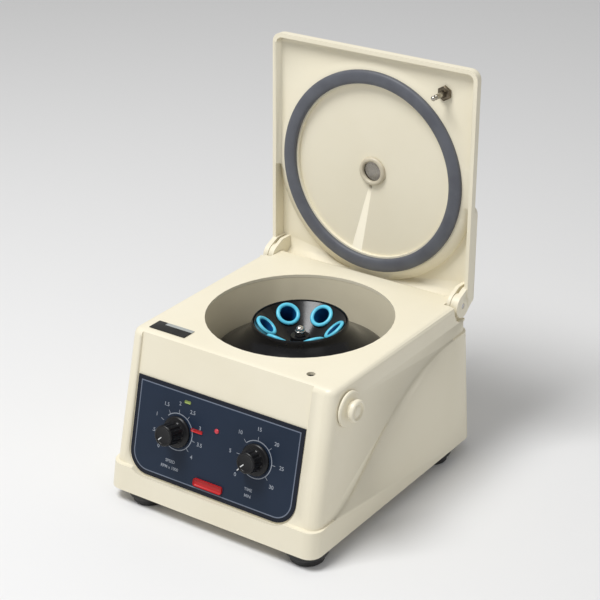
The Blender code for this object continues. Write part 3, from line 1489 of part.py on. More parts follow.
def make_latch(plastic, steel, dark, parent, turning):
    """The latch: knob, shaft and cam, which turn, and the bracket and switch, which don't."""
    axis_z = TOP_Z - LATCH_AXIS_DROP
    wall_x = wall_half_width(BODY_HEIGHT - LATCH_AXIS_DROP) + KNOB_STANDOFF
    sideways = Matrix.Translation((wall_x, 0, 0)) @ Matrix.Rotation(math.pi / 2, 4, "Y")
    knob = turned("latch_knob", latch_knob_outline(), plastic, turning, ROUND_STEPS, [sideways])
    shaft_end = wall_x + KNOB_FLANGE_HEIGHT + KNOB_GRIP_HEIGHT / 2
    hole = rod(
        "latch_knob_bore",
        LATCH_SHAFT_RADIUS + GAP,
        (wall_x - OVERRUN, 0, 0),
        (shaft_end + GAP, 0, 0),
        plastic,
        turning,
        SMALL_STEPS,
    )
    cut(knob, hole)
    ends = ((LATCH_SHAFT_END_X, 0, 0), (shaft_end, 0, 0))
    rod("latch_shaft", LATCH_SHAFT_RADIUS, *ends, steel, turning, SMALL_STEPS)
    make_cam(steel, turning)
    make_bracket(steel, parent)
    make_lid_switch(dark, parent, axis_z)


def lobe_points():
    """The spiral that presses the switch as the latch locks, as (angle, radius) from the shaft's axis."""
    start = -math.pi / 2
    points = []
    for step in range(2 * EDGE_STEPS + 1):
        share = step / (2 * EDGE_STEPS)
        rise = PLUNGER_RISE * min(share * LOBE_END_ANGLE / (math.pi / 2), 1.0)
        points.append((start + LOBE_END_ANGLE * share, CAM_HUB_RADIUS - GAP + rise))
    return [*points, (math.pi, CAM_HUB_RADIUS / 2)]


def make_cam(material, turning):
    """The forked cam that slips under the head of the lid's pin."""
    left = BRACKET_LEFT_X + BRACKET_PLATE + GAP
    right = BRACKET_RIGHT_X - BRACKET_PLATE - GAP
    cam = rod("latch_cam", CAM_HUB_RADIUS, (left, 0, 0), (right, 0, 0), material, turning, SMALL_STEPS)
    near = LATCH_NECK_RADIUS + GAP
    quarter = math.pi / 2
    start, end = quarter + CAM_START_ANGLE, quarter + CAM_END_ANGLE
    web = end - CAM_WEB_ANGLE
    steps = EDGE_STEPS * 2
    outline = arc(CAM_RADIUS, start, end, steps)
    outline += arc(CAM_HUB_RADIUS - OVERLAP, end, web, 1)
    outline += arc(CAM_RING_INNER_RADIUS, web, start, steps)
    for side in (-1, 1):
        low, high = sorted((LATCH_X + side * near, LATCH_X + side * (near + CAM_TINE)))
        fuse(cam, extruded("cam_tine", outline, low, high, material, turning, "X"))
    lobe = []
    for angle, radius in lobe_points():
        lobe.append((radius * math.cos(angle), radius * math.sin(angle)))
    fuse(cam, extruded("cam_lobe", lobe, left + OVERLAP / 2, left + LOBE_WIDTH, material, turning, "X"))
    hole = rod(
        "cam_bore",
        LATCH_SHAFT_RADIUS + GAP,
        (left - OVERRUN, 0, 0),
        (right + OVERRUN, 0, 0),
        material,
        turning,
        SMALL_STEPS,
    )
    return cut(cam, hole)


def make_bracket(material, parent):
    """The folded bracket under the top that carries the latch shaft."""
    top = TOP_Z - TOP_WALL - GAP
    low_y, high_y = LATCH_AXIS_Y - BRACKET_DEPTH / 2, LATCH_AXIS_Y + BRACKET_DEPTH / 2
    left, right = BRACKET_LEFT_X, BRACKET_RIGHT_X
    foot = top - BRACKET_DROP + TOP_WALL
    plate = block("latch_bracket", (left, low_y, top - BRACKET_PLATE), (right, high_y, top), material, parent)
    for x in (left, right - BRACKET_PLATE):
        low, high = (x, low_y, foot), (x + BRACKET_PLATE, high_y, top - OVERLAP)
        fuse(plate, block("bracket_cheek", low, high, material, parent))
    axis_z = TOP_Z - LATCH_AXIS_DROP
    shaft_hole = rod(
        "bracket_shaft_hole",
        LATCH_SHAFT_RADIUS + GAP,
        (left - OVERRUN, LATCH_AXIS_Y, axis_z),
        (right + OVERRUN, LATCH_AXIS_Y, axis_z),
        material,
        parent,
        SMALL_STEPS,
    )
    pin_hole = rod(
        "bracket_pin_hole",
        LATCH_HOLE_RADIUS,
        (LATCH_X, LATCH_Y, top - BRACKET_PLATE - OVERRUN),
        (LATCH_X, LATCH_Y, top + OVERRUN),
        material,
        parent,
        SMALL_STEPS,
    )
    return cut(plate, shaft_hole, pin_hole)


def make_lid_switch(material, parent, axis_z):
    """The lid switch on the bracket's left cheek, with its plunger under the cam's hub."""
    left = BRACKET_LEFT_X + BRACKET_PLATE + GAP
    top = axis_z - CAM_HUB_RADIUS - PLUNGER_RISE - RUNNING_GAP
    half = SWITCH_LENGTH / 2
    switch = block(
        "lid_switch",
        (left, LATCH_AXIS_Y - half, top - SWITCH_HEIGHT),
        (left + SWITCH_WIDTH, LATCH_AXIS_Y + half, top),
        material,
        parent,
    )
    x = left + SWITCH_WIDTH / 2
    foot = top + PLUNGER_RISE - PLUNGER_LENGTH
    bore = rod(
        "plunger_bore",
        PLUNGER_RADIUS + GAP,
        (x, LATCH_AXIS_Y, foot - PLUNGER_RISE),
        (x, LATCH_AXIS_Y, top + OVERRUN),
        material,
        parent,
        SMALL_STEPS,
    )
    cut(switch, bore)
    rod(
        "switch_plunger",
        PLUNGER_RADIUS,
        (x, LATCH_AXIS_Y, foot),
        (x, LATCH_AXIS_Y, top + PLUNGER_RISE),
        material,
        parent,
        SMALL_STEPS,
    )


def make_label(material, parent):
    """The bare label plate on the top, near the front left corner."""
    low = TOP_Z + GAP
    across, along = LABEL_LENGTH / 2, LABEL_WIDTH / 2
    return block(
        "label_plate",
        (LABEL_CENTRE_X - across, LABEL_CENTRE_Y - along, low),
        (LABEL_CENTRE_X + across, LABEL_CENTRE_Y + along, low + LABEL_THICKNESS),
        material,
        parent,
    )


# Parts on the circuit board: shares of its width and length for centre and half size, heights in standoffs
BOARD_PART_SHARES = (
    (-0.20, 0.28, 0.22, 0.13, 2.6),
    (0.24, 0.30, 0.12, 0.10, 1.5),
    (0.10, -0.02, 0.30, 0.06, 1.0),
    (-0.22, -0.24, 0.14, 0.12, 1.8),
    (0.22, -0.26, 0.10, 0.14, 1.2),
)


def make_board(material, parent):
    """The circuit board on its standoffs, with its larger parts."""
    low = BASE_Z + GAP + PAN_THICKNESS + STANDOFF_HEIGHT + GAP
    across, along = BOARD_WIDTH / 2, BOARD_LENGTH / 2
    board = block(
        "circuit_board",
        (BOARD_CENTRE_X - across, BOARD_CENTRE_Y - along, low),
        (BOARD_CENTRE_X + across, BOARD_CENTRE_Y + along, low + BOARD_THICKNESS),
        material,
        parent,
    )
    parts = []
    for x_share, y_share, wide_share, long_share, rise_share in BOARD_PART_SHARES:
        x = BOARD_CENTRE_X + BOARD_WIDTH * x_share
        y = BOARD_CENTRE_Y + BOARD_LENGTH * y_share
        wide, long = BOARD_WIDTH * wide_share, BOARD_LENGTH * long_share
        part_low = (x - wide, y - long, low + BOARD_THICKNESS / 2)
        part_high = (x + wide, y + long, low + BOARD_THICKNESS + STANDOFF_HEIGHT * rise_share)
        parts.append((part_low, part_high))
    return fuse(board, blocks("board_parts", parts, material, parent))


def make_inlet(dark, parent):
    """The power inlet in the rear wall, with its fuse drawer and three flat contacts."""
    centre_z = BASE_Z + INLET_HEIGHT
    ends = (INLET_HEIGHT - INLET_TALL / 2 - INLET_FLANGE, INLET_HEIGHT + INLET_TALL / 2 + INLET_FLANGE)
    wall_y = max(rear_reach(height) for height in ends) + SKIRT_PROUD + GAP
    back = wall_y + INLET_FLANGE_THICKNESS
    front = wall_y - INLET_DEPTH
    half, tall = INLET_WIDTH / 2, INLET_TALL / 2
    low, high = (INLET_X - half, front, centre_z - tall), (INLET_X + half, back, centre_z + tall)
    inlet = block("power_inlet", low, high, dark, parent)
    edge = INLET_FLANGE
    flange = block(
        "inlet_flange",
        (INLET_X - half - edge, wall_y, centre_z - tall - edge / 2),
        (INLET_X + half + edge, back, centre_z + tall + edge / 2),
        dark,
        parent,
    )
    fuse(inlet, flange)
    fuse_top = centre_z + tall - OVERLAP
    fuse_low = fuse_top - FUSE_TALL
    slot = block(
        "fuse_slot",
        (INLET_X - FUSE_WIDTH / 2 - GAP, back - FUSE_DEPTH - GAP, fuse_low - GAP),
        (INLET_X + FUSE_WIDTH / 2 + GAP, back + OVERRUN, fuse_top + GAP),
        dark,
        parent,
    )
    socket_top = fuse_low - 2 * OVERLAP
    socket_low = centre_z - tall + OVERLAP
    well_front = back - INLET_DEPTH * SOCKET_DEPTH_SHARE
    socket = block(
        "socket_well",
        (INLET_X - FUSE_WIDTH / 2, well_front, socket_low),
        (INLET_X + FUSE_WIDTH / 2, back + OVERRUN, socket_top),
        dark,
        parent,
    )
    cut(inlet, slot, socket)
    middle = (socket_low + socket_top) / 2
    contacts = []
    for index in (-1, 0, 1):
        x = INLET_X + index * FUSE_WIDTH * CONTACT_PITCH_SHARE
        z = middle + (CONTACT_WIDTH if index == 0 else -CONTACT_WIDTH)
        wide, tall_half = CONTACT_WIDTH / 2, CONTACT_HEIGHT / 2
        low = (x - wide, well_front - OVERLAP, z - tall_half)
        contacts.append((low, (x + wide, back - 2 * OVERLAP, z + tall_half)))
    fuse(inlet, blocks("contacts", contacts, dark, parent))
    drawer = block(
        "fuse_drawer",
        (INLET_X - FUSE_WIDTH / 2, back - FUSE_DEPTH, fuse_low),
        (INLET_X + FUSE_WIDTH / 2, back + OVERLAP / 2, fuse_top),
        dark,
        parent,
    )
    return inlet, drawer


def build():
    """Makes every piece of the centrifuge."""
    clear_scene()
    cream = make_material("cream_moulding")
    grey_rubber = make_material("grey_rubber")
    black_rubber = make_material("black_rubber")
    navy = make_material("navy_panel")
    black = make_material("black_moulding")
    blue = make_material("blue_sleeve")
    steel = make_material("steel")
    zinc = make_material("zinc_plate")
    brass = make_material("dark_metal")
    glass = make_material("clear_window")
    lamp = make_material("red_lamp")
    board_green = make_material("board_green")

    stand = make_empty("stand", (axis_x(), AXIS_Y, 0.0))
    panel = make_empty(
        "panel_frame",
        (0.0, -face_reach(DIAL_HEIGHT) + RECESS_DEPTH / math.cos(FACE_TILT), BASE_Z + DIAL_HEIGHT),
        stand,
        (math.pi / 2 - FACE_TILT, 0.0, 0.0),
    )
    make_housing(cream, stand, panel)
    make_base_pan(cream, stand)
    make_bowl(cream, stand)
    make_shaft_seal(black_rubber, stand)
    make_panel(navy, panel)
    make_led(lamp, panel)
    make_label(black, stand)
    make_feet(black_rubber, steel, stand)

    hinge = make_empty("lid_hinge", (0.0, HINGE_REACH, HINGE_Z), stand, (-OPEN_ANGLE, 0.0, 0.0))
    closed_lid = make_empty("lid_frame", (0.0, -HINGE_REACH, RIM_ABOVE_HINGE), hinge)
    make_lid(cream, closed_lid)
    make_gasket(grey_rubber, closed_lid)
    make_window(glass, brass, closed_lid)
    make_latch_pin(brass, closed_lid)
    make_hinge_pins(steel, stand)

    spindle = make_empty("rotor_axis", (0.0, 0.0, TOP_Z), stand)
    make_rotor(black, spindle)
    make_rotor_skirt(black, spindle)
    for index, place in enumerate(sleeve_places()):
        tilted = make_empty(f"sleeve_axis_{index + 1}", place.to_translation(), spindle, place.to_euler())
        make_sleeve(index, blue, tilted)
    make_rotor_nut(steel, spindle)
    make_shaft(steel, spindle)
    make_armature(zinc, spindle)
    make_motor(zinc, stand)
    make_motor_mount(zinc, black_rubber, stand)

    speed = make_empty("speed_axis", (SPEED_X, 0.0, 0.0), panel, (0.0, 0.0, DIAL_START_ANGLE))
    make_dial("speed_knob", SPEED_KNOB_HEIGHT, DIAL_SKIRT_HEIGHT * 2, black, speed)
    make_dial_shaft("speed_spindle", POT_DEPTH, steel, speed)
    make_potentiometer(zinc, speed)
    timer = make_empty("timer_axis", (TIMER_X, 0.0, 0.0), panel, (0.0, 0.0, DIAL_START_ANGLE))
    make_dial("timer_knob", TIMER_KNOB_HEIGHT, TIMER_KNOB_HEIGHT - DIAL_SKIRT_HEIGHT / 2, black, timer)
    make_dial_shaft("timer_spindle", TIMER_DEPTH, steel, timer)
    make_timer(zinc, timer)

    latch = make_empty("latch_axis", (0.0, LATCH_AXIS_Y, TOP_Z - LATCH_AXIS_DROP), stand)
    make_latch(cream, zinc, black, stand, latch)
    make_board(board_green, stand)
    make_inlet(black, stand)


build()
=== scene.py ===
from math import atan2, cos, pi, radians, sin, tan, tau

import bpy
from mathutils import Matrix, Vector


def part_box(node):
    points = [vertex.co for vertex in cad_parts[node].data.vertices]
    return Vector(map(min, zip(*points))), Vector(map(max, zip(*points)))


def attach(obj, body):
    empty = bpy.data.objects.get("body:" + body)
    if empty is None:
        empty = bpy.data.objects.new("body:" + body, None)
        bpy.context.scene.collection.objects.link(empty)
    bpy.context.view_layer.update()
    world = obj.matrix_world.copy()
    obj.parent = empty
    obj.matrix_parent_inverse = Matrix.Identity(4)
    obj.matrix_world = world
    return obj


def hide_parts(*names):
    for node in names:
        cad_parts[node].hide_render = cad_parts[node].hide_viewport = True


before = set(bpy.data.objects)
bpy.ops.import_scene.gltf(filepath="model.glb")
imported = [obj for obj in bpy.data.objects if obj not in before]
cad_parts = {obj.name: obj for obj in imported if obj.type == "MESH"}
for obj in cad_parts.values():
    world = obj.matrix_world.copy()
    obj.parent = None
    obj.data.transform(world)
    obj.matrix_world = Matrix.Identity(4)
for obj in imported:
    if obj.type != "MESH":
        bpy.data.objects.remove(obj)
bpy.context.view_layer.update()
bpy.ops.object.select_all(action="DESELECT")


# Body shell: one ivory ABS moulding with a raked front, a ledge that sweeps up both sides and a
# lightly grained skin. The hinge pockets, the panel recess and the mouth of the bowl are moulded in.
def surface_grain():
    """The effect that every surface shares: cloudy tint, sheen and fine grain."""
    group = bpy.data.node_groups.new("surface_grain", "ShaderNodeTree")
    wires = group.links.new
    for name, kind, value in (
        ("Colour", "NodeSocketColor", (0.8, 0.8, 0.8, 1.0)),
        ("Cloud Colour", "NodeSocketColor", (0.7, 0.7, 0.7, 1.0)),
        ("Cloud Scale", "NodeSocketFloat", 25.0),
        ("Grain Scale", "NodeSocketFloat", 2500.0),
        ("Sheen", "NodeSocketFloat", 0.4),
        ("Sheen Spread", "NodeSocketFloat", 0.1),
        ("Stretch", "NodeSocketVector", (1.0, 1.0, 1.0)),
    ):
        socket = group.interface.new_socket(name, in_out="INPUT", socket_type=kind)
        socket.default_value = value
    for name, kind in (
        ("Colour", "NodeSocketColor"),
        ("Sheen", "NodeSocketFloat"),
        ("Height", "NodeSocketFloat"),
    ):
        group.interface.new_socket(name, in_out="OUTPUT", socket_type=kind)
    given = group.nodes.new("NodeGroupInput")
    result = group.nodes.new("NodeGroupOutput")
    place = group.nodes.new("ShaderNodeTexCoord")
    drawn = group.nodes.new("ShaderNodeVectorMath")
    drawn.operation = "MULTIPLY"
    wires(place.outputs["Object"], drawn.inputs[0])
    wires(given.outputs["Stretch"], drawn.inputs[1])
    cloud = group.nodes.new("ShaderNodeTexNoise")
    cloud.inputs["Detail"].default_value = 4.0
    wires(place.outputs["Object"], cloud.inputs["Vector"])
    wires(given.outputs["Cloud Scale"], cloud.inputs["Scale"])
    grain = group.nodes.new("ShaderNodeTexNoise")
    grain.inputs["Detail"].default_value = 2.0
    wires(drawn.outputs["Vector"], grain.inputs["Vector"])
    wires(given.outputs["Grain Scale"], grain.inputs["Scale"])
    spread = group.nodes.new("ShaderNodeMapRange")
    spread.inputs["From Min"].default_value = 0.35
    spread.inputs["From Max"].default_value = 0.65
    wires(cloud.outputs["Fac"], spread.inputs["Value"])
    tint = group.nodes.new("ShaderNodeMix")
    tint.data_type = "RGBA"
    wires(spread.outputs["Result"], tint.inputs["Factor"])
    wires(given.outputs["Colour"], tint.inputs["A"])
    wires(given.outputs["Cloud Colour"], tint.inputs["B"])
    mixed = group.nodes.new("ShaderNodeMath")
    mixed.operation = "ADD"
    wires(cloud.outputs["Fac"], mixed.inputs[0])
    wires(grain.outputs["Fac"], mixed.inputs[1])
    centred = group.nodes.new("ShaderNodeMath")
    centred.operation = "SUBTRACT"
    centred.inputs[1].default_value = 1.0
    wires(mixed.outputs["Value"], centred.inputs[0])
    sheen = group.nodes.new("ShaderNodeMath")
    sheen.operation = "MULTIPLY_ADD"
    wires(centred.outputs["Value"], sheen.inputs[0])
    wires(given.outputs["Sheen Spread"], sheen.inputs[1])
    wires(given.outputs["Sheen"], sheen.inputs[2])
    wires(tint.outputs["Result"], result.inputs["Colour"])
    wires(sheen.outputs["Value"], result.inputs["Sheen"])
    wires(grain.outputs["Fac"], result.inputs["Height"])
    return group


grain_group = surface_grain()


def finish_of(
    name,
    colour,
    cloud,
    sheen,
    spread=0.08,
    size=0.0004,
    depth=0.00002,
    patch=0.04,
    drawn=(1, 1, 1),
    gloss=0.5,
):
    """A finish with its own tint, cloudiness, sheen and grain; sizes in metres."""
    material = bpy.data.materials.new(name)
    material.use_nodes = True
    tree = material.node_tree
    shader = tree.nodes["Principled BSDF"]
    shader.inputs["Specular IOR Level"].default_value = gloss
    skin = tree.nodes.new("ShaderNodeGroup")
    skin.node_tree = grain_group
    skin.inputs["Colour"].default_value = (*colour, 1.0)
    skin.inputs["Cloud Colour"].default_value = (*cloud, 1.0)
    skin.inputs["Cloud Scale"].default_value = 1 / patch
    skin.inputs["Grain Scale"].default_value = 1 / size
    skin.inputs["Sheen"].default_value = sheen
    skin.inputs["Sheen Spread"].default_value = spread
    skin.inputs["Stretch"].default_value = drawn
    bump = tree.nodes.new("ShaderNodeBump")
    bump.inputs["Strength"].default_value = 0.6
    bump.inputs["Distance"].default_value = depth
    tree.links.new(skin.outputs["Colour"], shader.inputs["Base Color"])
    tree.links.new(skin.outputs["Sheen"], shader.inputs["Roughness"])
    tree.links.new(skin.outputs["Height"], bump.inputs["Height"])
    tree.links.new(bump.outputs["Normal"], shader.inputs["Normal"])
    return material


def hold(piece):
    """Leaves this piece alone selected and active."""
    if bpy.context.object and bpy.context.object.mode != "OBJECT":
        bpy.ops.object.mode_set(mode="OBJECT")
    bpy.ops.object.select_all(action="DESELECT")
    piece.select_set(True)
    bpy.context.view_layer.objects.active = piece


def settle(piece, name, place=None, angle=32.0):
    """Names a piece, puts its place in its mesh and smooths all but its sharp edges."""
    piece.name = name
    piece.data.name = name
    hold(piece)
    if place is not None:
        piece.matrix_world = place @ piece.matrix_world
    bpy.ops.object.transform_apply(location=True, rotation=True, scale=True)
    bpy.ops.object.shade_smooth_by_angle(angle=radians(angle))
    return piece


def fit(piece, material, body, slot, *nodes):
    """Gives a finished piece its material and its body, in place of CAD nodes; the slot is not used."""
    if material is not None:
        piece.data.materials.clear()
        piece.data.materials.append(material)
    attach(piece, body)
    if nodes:
        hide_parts(*nodes)
    return piece


def moulding_from(node, name, angle=32.0):
    """A piece in the shape of a CAD node, with its flat faces whole and its curves smooth."""
    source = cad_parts[node]
    piece = source.copy()
    piece.data = source.data.copy()
    bpy.context.collection.objects.link(piece)
    place = source.matrix_world.copy()
    piece.parent = None
    piece.matrix_world = place
    hold(piece)
    bpy.ops.object.mode_set(mode="EDIT")
    bpy.ops.mesh.select_all(action="SELECT")
    bpy.ops.mesh.remove_doubles(threshold=1e-6)
    bpy.ops.mesh.dissolve_limited(angle_limit=radians(0.6))
    bpy.ops.object.mode_set(mode="OBJECT")
    return settle(piece, name, None, angle)


AXIS_X, AXIS_Y, TOP_Z = -0.00399, 0.00879, 0.1662
deck = Matrix.Translation((AXIS_X, AXIS_Y, TOP_Z))
ivory = finish_of(
    "ivory_moulding", (0.84, 0.785, 0.63), (0.815, 0.757, 0.596), 0.4, 0.1, size=0.0007,
    depth=0.00003, patch=0.09,
)
shell = moulding_from("housing", "body_shell", 20.0)
fit(shell, ivory, "body", "cream_moulding", "housing")


# Bottom closure and fixings: a thin ivory pan with vents and standoffs, screwed up into bosses of
# the shell through the rubber feet.
pan_finish = finish_of(
    "pan_moulding", (0.7, 0.64, 0.5), (0.64, 0.58, 0.45), 0.55, size=0.0008, depth=0.00004,
)
pan = moulding_from("base_pan", "bottom_pan")
fit(pan, pan_finish, "body", "cream_moulding", "base_pan")


# Bowl and shaft seal: a deep drawn tub, painted the body's ivory but flatter, with a rounded foot,
# and a black rubber boot where the motor shaft comes through its floor.
bowl_finish = finish_of(
    "bowl_paint", (0.8, 0.735, 0.56), (0.76, 0.695, 0.525), 0.42, 0.12, size=0.0012, depth=0.00004,
    patch=0.05,
)
tub = moulding_from("bowl", "bowl_tub")
fit(tub, bowl_finish, "body", "cream_moulding", "bowl")
black_rubber = finish_of(
    "black_rubber", (0.014, 0.014, 0.014), (0.03, 0.029, 0.028), 0.62, 0.12, size=0.0005,
    depth=0.00006, patch=0.01,
)
boot = moulding_from("shaft_seal", "shaft_boot", 40.0)
fit(boot, black_rubber, "body", "black_rubber", "shaft_seal")


# Control panel: a printed plastic overlay, stuck in the recess of the raked front. Navy field, a
# silver line all round inside a black border, and square top corners over large round lower ones.
def pick_points(piece, wanted):
    """Selects, in edit mode, the points of a piece whose place passes a test."""
    bpy.ops.object.mode_set(mode="OBJECT")
    bpy.context.tool_settings.mesh_select_mode = (True, False, False)
    mesh = piece.data
    for parts in (mesh.polygons, mesh.edges, mesh.vertices):
        parts.foreach_set("select", [False] * len(parts))
    for point in mesh.vertices:
        point.select = wanted(point.co)
    bpy.ops.object.mode_set(mode="EDIT")


def pick_faces(piece, wanted):
    """Selects, in edit mode, the faces of a piece that pass a test of centre and normal."""
    bpy.ops.object.mode_set(mode="OBJECT")
    bpy.context.tool_settings.mesh_select_mode = (False, False, True)
    mesh = piece.data
    for parts in (mesh.polygons, mesh.edges, mesh.vertices):
        parts.foreach_set("select", [False] * len(parts))
    for face in mesh.polygons:
        face.select = wanted(face.center, face.normal)
    bpy.ops.object.mode_set(mode="EDIT")


def colour_picked(piece, index):
    """Gives the selected faces the material in this slot."""
    piece.active_material_index = index
    bpy.ops.object.material_slot_assign()


def slab(name, length, width, thickness, low, centre=(0.0, 0.0)):
    """A flat plate lying on the level low, left in edit mode with all of it selected."""
    bpy.ops.object.select_all(action="DESELECT")
    bpy.ops.mesh.primitive_cube_add(size=1)
    piece = bpy.context.object
    piece.name = name
    bpy.ops.object.mode_set(mode="EDIT")
    bpy.ops.mesh.select_all(action="SELECT")
    bpy.ops.transform.resize(value=(length, width, thickness), center_override=(0, 0, 0))
    bpy.ops.transform.translate(value=(centre[0], centre[1], low + thickness / 2))
    return piece


FACE_RAKE = 0.24498
panel = Matrix.Translation((AXIS_X, -0.121817, 0.0835)) @ Matrix.Rotation(pi / 2 - FACE_RAKE, 4, "X")
PANEL_LOW, PANEL_TOP = 0.0003, 0.0013
navy = finish_of(
    "navy_print", (0.015, 0.026, 0.05), (0.013, 0.023, 0.044), 0.4, size=0.0005, depth=0.00001,
    patch=0.05, gloss=0.2,
)
border_black = finish_of(
    "border_black", (0.009, 0.0125, 0.022), (0.011, 0.014, 0.024), 0.4, size=0.0005, gloss=0.2,
)
silver_print = finish_of(
    "silver_print", (0.16, 0.19, 0.25), (0.14, 0.165, 0.22), 0.4, size=0.0003, gloss=0.3,
)
OVERLAY_LENGTH, OVERLAY_WIDTH, OVERLAY_CENTRE = 0.192, 0.0948, (-0.005, -0.0041)
LOWER_CORNER, BORDER_WIDTH, SILVER_WIDTH = 0.022, 0.0040, 0.0011
overlay = slab(
    "panel_overlay", OVERLAY_LENGTH, OVERLAY_WIDTH, PANEL_TOP - PANEL_LOW, PANEL_LOW, OVERLAY_CENTRE
)
for look in (border_black, silver_print, navy):
    overlay.data.materials.append(look)
pick_points(overlay, lambda p: p.y < 0 and p.z < 0.0005)
bpy.ops.object.mode_set(mode="OBJECT")
bpy.context.tool_settings.mesh_select_mode = (False, True, False)
for edge in overlay.data.edges:
    ends = [overlay.data.vertices[i].co for i in edge.vertices]
    edge.select = all(e.y < 0 for e in ends) and abs(ends[0].z - ends[1].z) > 0.0005
bpy.ops.object.mode_set(mode="EDIT")
bpy.ops.mesh.bevel(offset=LOWER_CORNER, offset_type="OFFSET", segments=20, affect="EDGES")
pick_faces(overlay, lambda c, n: n.z > 0.9)
bpy.ops.mesh.inset(thickness=BORDER_WIDTH, use_even_offset=True)
colour_picked(overlay, 1)
bpy.ops.mesh.inset(thickness=SILVER_WIDTH, use_even_offset=True)
colour_picked(overlay, 2)
bpy.ops.object.mode_set(mode="OBJECT")
settle(overlay, "panel_overlay", panel)
fit(overlay, None, "body", "navy_panel", "control_panel")


# Printing on the panel: a white ring with ticks, plain numbers and a plain caption round each dial,
# and a bare red bar low in the middle. All of it is ink, a hair above the overlay.
white_ink = finish_of(
    "white_ink", (0.31, 0.34, 0.39), (0.27, 0.3, 0.35), 0.5, size=0.0002, depth=0.000005,
)
red_ink = finish_of(
    "red_ink", (0.52, 0.012, 0.014), (0.46, 0.01, 0.012), 0.42, size=0.0002, depth=0.000005,
)
lime_ink = finish_of(
    "lime_ink", (0.33, 0.42, 0.12), (0.28, 0.36, 0.1), 0.5, size=0.0002, depth=0.000005,
)
INK = 0.00006


def lettering(words, size, centre):
    """Flat printed characters around a centre on the panel."""
    bpy.ops.object.select_all(action="DESELECT")
    bpy.ops.object.text_add()
    text = bpy.context.object
    text.data.body = words
    text.data.size = size
    text.data.align_x = "CENTER"
    text.data.align_y = "CENTER"
    text.data.extrude = INK / 2
    text.data.offset = size * 0.012
    text.data.resolution_u = 3
    hold(text)
    bpy.ops.object.convert(target="MESH")
    text = bpy.context.object
    text.location = (centre[0], centre[1], PANEL_TOP + INK / 2)
    return text


def joined(parts, name):
    """Several meshes made one, named and left at its place."""
    hold(parts[0])
    for part in parts:
        part.select_set(True)
    bpy.ops.object.join()
    parts[0].name = name
    return parts[0]


def printed_bar(name, length, width, centre, rounding=0.3):
    """A printed bar with softened corners."""
    bar = slab(name, length, width, INK, PANEL_TOP, centre)
    bpy.ops.object.mode_set(mode="OBJECT")
    bpy.context.tool_settings.mesh_select_mode = (False, True, False)
    for edge in bar.data.edges:
        ends = [bar.data.vertices[i].co for i in edge.vertices]
        edge.select = abs(ends[0].z - ends[1].z) > INK / 2
    bpy.ops.object.mode_set(mode="EDIT")
    bpy.ops.mesh.bevel(offset=width * rounding, segments=4, affect="EDGES")
    bpy.ops.object.mode_set(mode="OBJECT")
    return bar


def dial_scale(name, centre_x, numbers, captions, number_reach):
    """The ring, ticks, numbers and caption printed round a dial."""
    ring_in, ring_out, tick_out = 0.0174, 0.0182, 0.0218
    start, sweep = radians(-135), radians(270)
    bpy.ops.object.select_all(action="DESELECT")
    bpy.ops.mesh.primitive_plane_add(size=1)
    ring = bpy.context.object
    bpy.ops.object.mode_set(mode="EDIT")
    bpy.ops.mesh.select_all(action="SELECT")
    bpy.ops.transform.resize(value=(0.0004, ring_out - ring_in, 1), center_override=(0, 0, 0))
    bpy.ops.transform.translate(value=(0, (ring_in + ring_out) / 2, PANEL_TOP))
    pick_points(ring, lambda p: p.x > 0)
    bpy.ops.mesh.spin(steps=90, angle=sweep, center=(0, 0, 0), axis=(0, 0, -1))
    bpy.ops.mesh.select_all(action="SELECT")
    bpy.ops.mesh.remove_doubles(threshold=1e-7)
    bpy.ops.mesh.extrude_region_move(TRANSFORM_OT_translate={"value": (0, 0, INK)})
    bpy.ops.mesh.select_all(action="SELECT")
    bpy.ops.mesh.normals_make_consistent(inside=False)
    bpy.ops.object.mode_set(mode="OBJECT")
    ring.matrix_world = Matrix.Rotation(-start, 4, "Z")
    parts = [ring]
    for step, number in enumerate(numbers):
        angle = start + sweep * step / (len(numbers) - 1)
        tick = slab("tick", 0.0005, tick_out - ring_out, INK, PANEL_TOP, (0, (tick_out + ring_out) / 2))
        bpy.ops.object.mode_set(mode="OBJECT")
        tick.matrix_world = Matrix.Rotation(-angle, 4, "Z")
        parts.append(tick)
        parts.append(lettering(number, 0.0052, (number_reach * sin(angle), number_reach * cos(angle))))
    for line, caption in enumerate(captions):
        parts.append(lettering(caption, 0.0042, (-0.004, -0.0305 - 0.0062 * line)))
    scale = joined(parts, name)
    return settle(scale, name, panel @ Matrix.Translation((centre_x, 0, 0)))


SPEED_X, TIMER_X = -0.049, 0.0423
speed_numbers = ("0", ".5", "1", "1.5", "2", "2.5", "3", "3.5", "4")
speed_scale = dial_scale("speed_scale", SPEED_X, speed_numbers, ("SPEED", "RPM x 1000"), 0.0277)
fit(speed_scale, white_ink, "body", "navy_panel")
timer_numbers = ("0", "5", "10", "15", "20", "25", "30")
timer_scale = dial_scale("timer_scale", TIMER_X, timer_numbers, ("TIME", "MIN"), 0.029)
fit(timer_scale, white_ink, "body", "navy_panel")
for name, length, width, centre, ink in (
    ("red_bar", 0.033, 0.0075, (-0.0064, -0.0409), red_ink),
    ("red_mark", 0.013, 0.003, (-0.0265, 0.007), red_ink),
    ("lime_mark", 0.007, 0.0026, (-0.0405, 0.0315), lime_ink),
):
    bar = settle(printed_bar(name, length, width, centre), name, panel)
    fit(bar, ink, "body", "navy_panel")


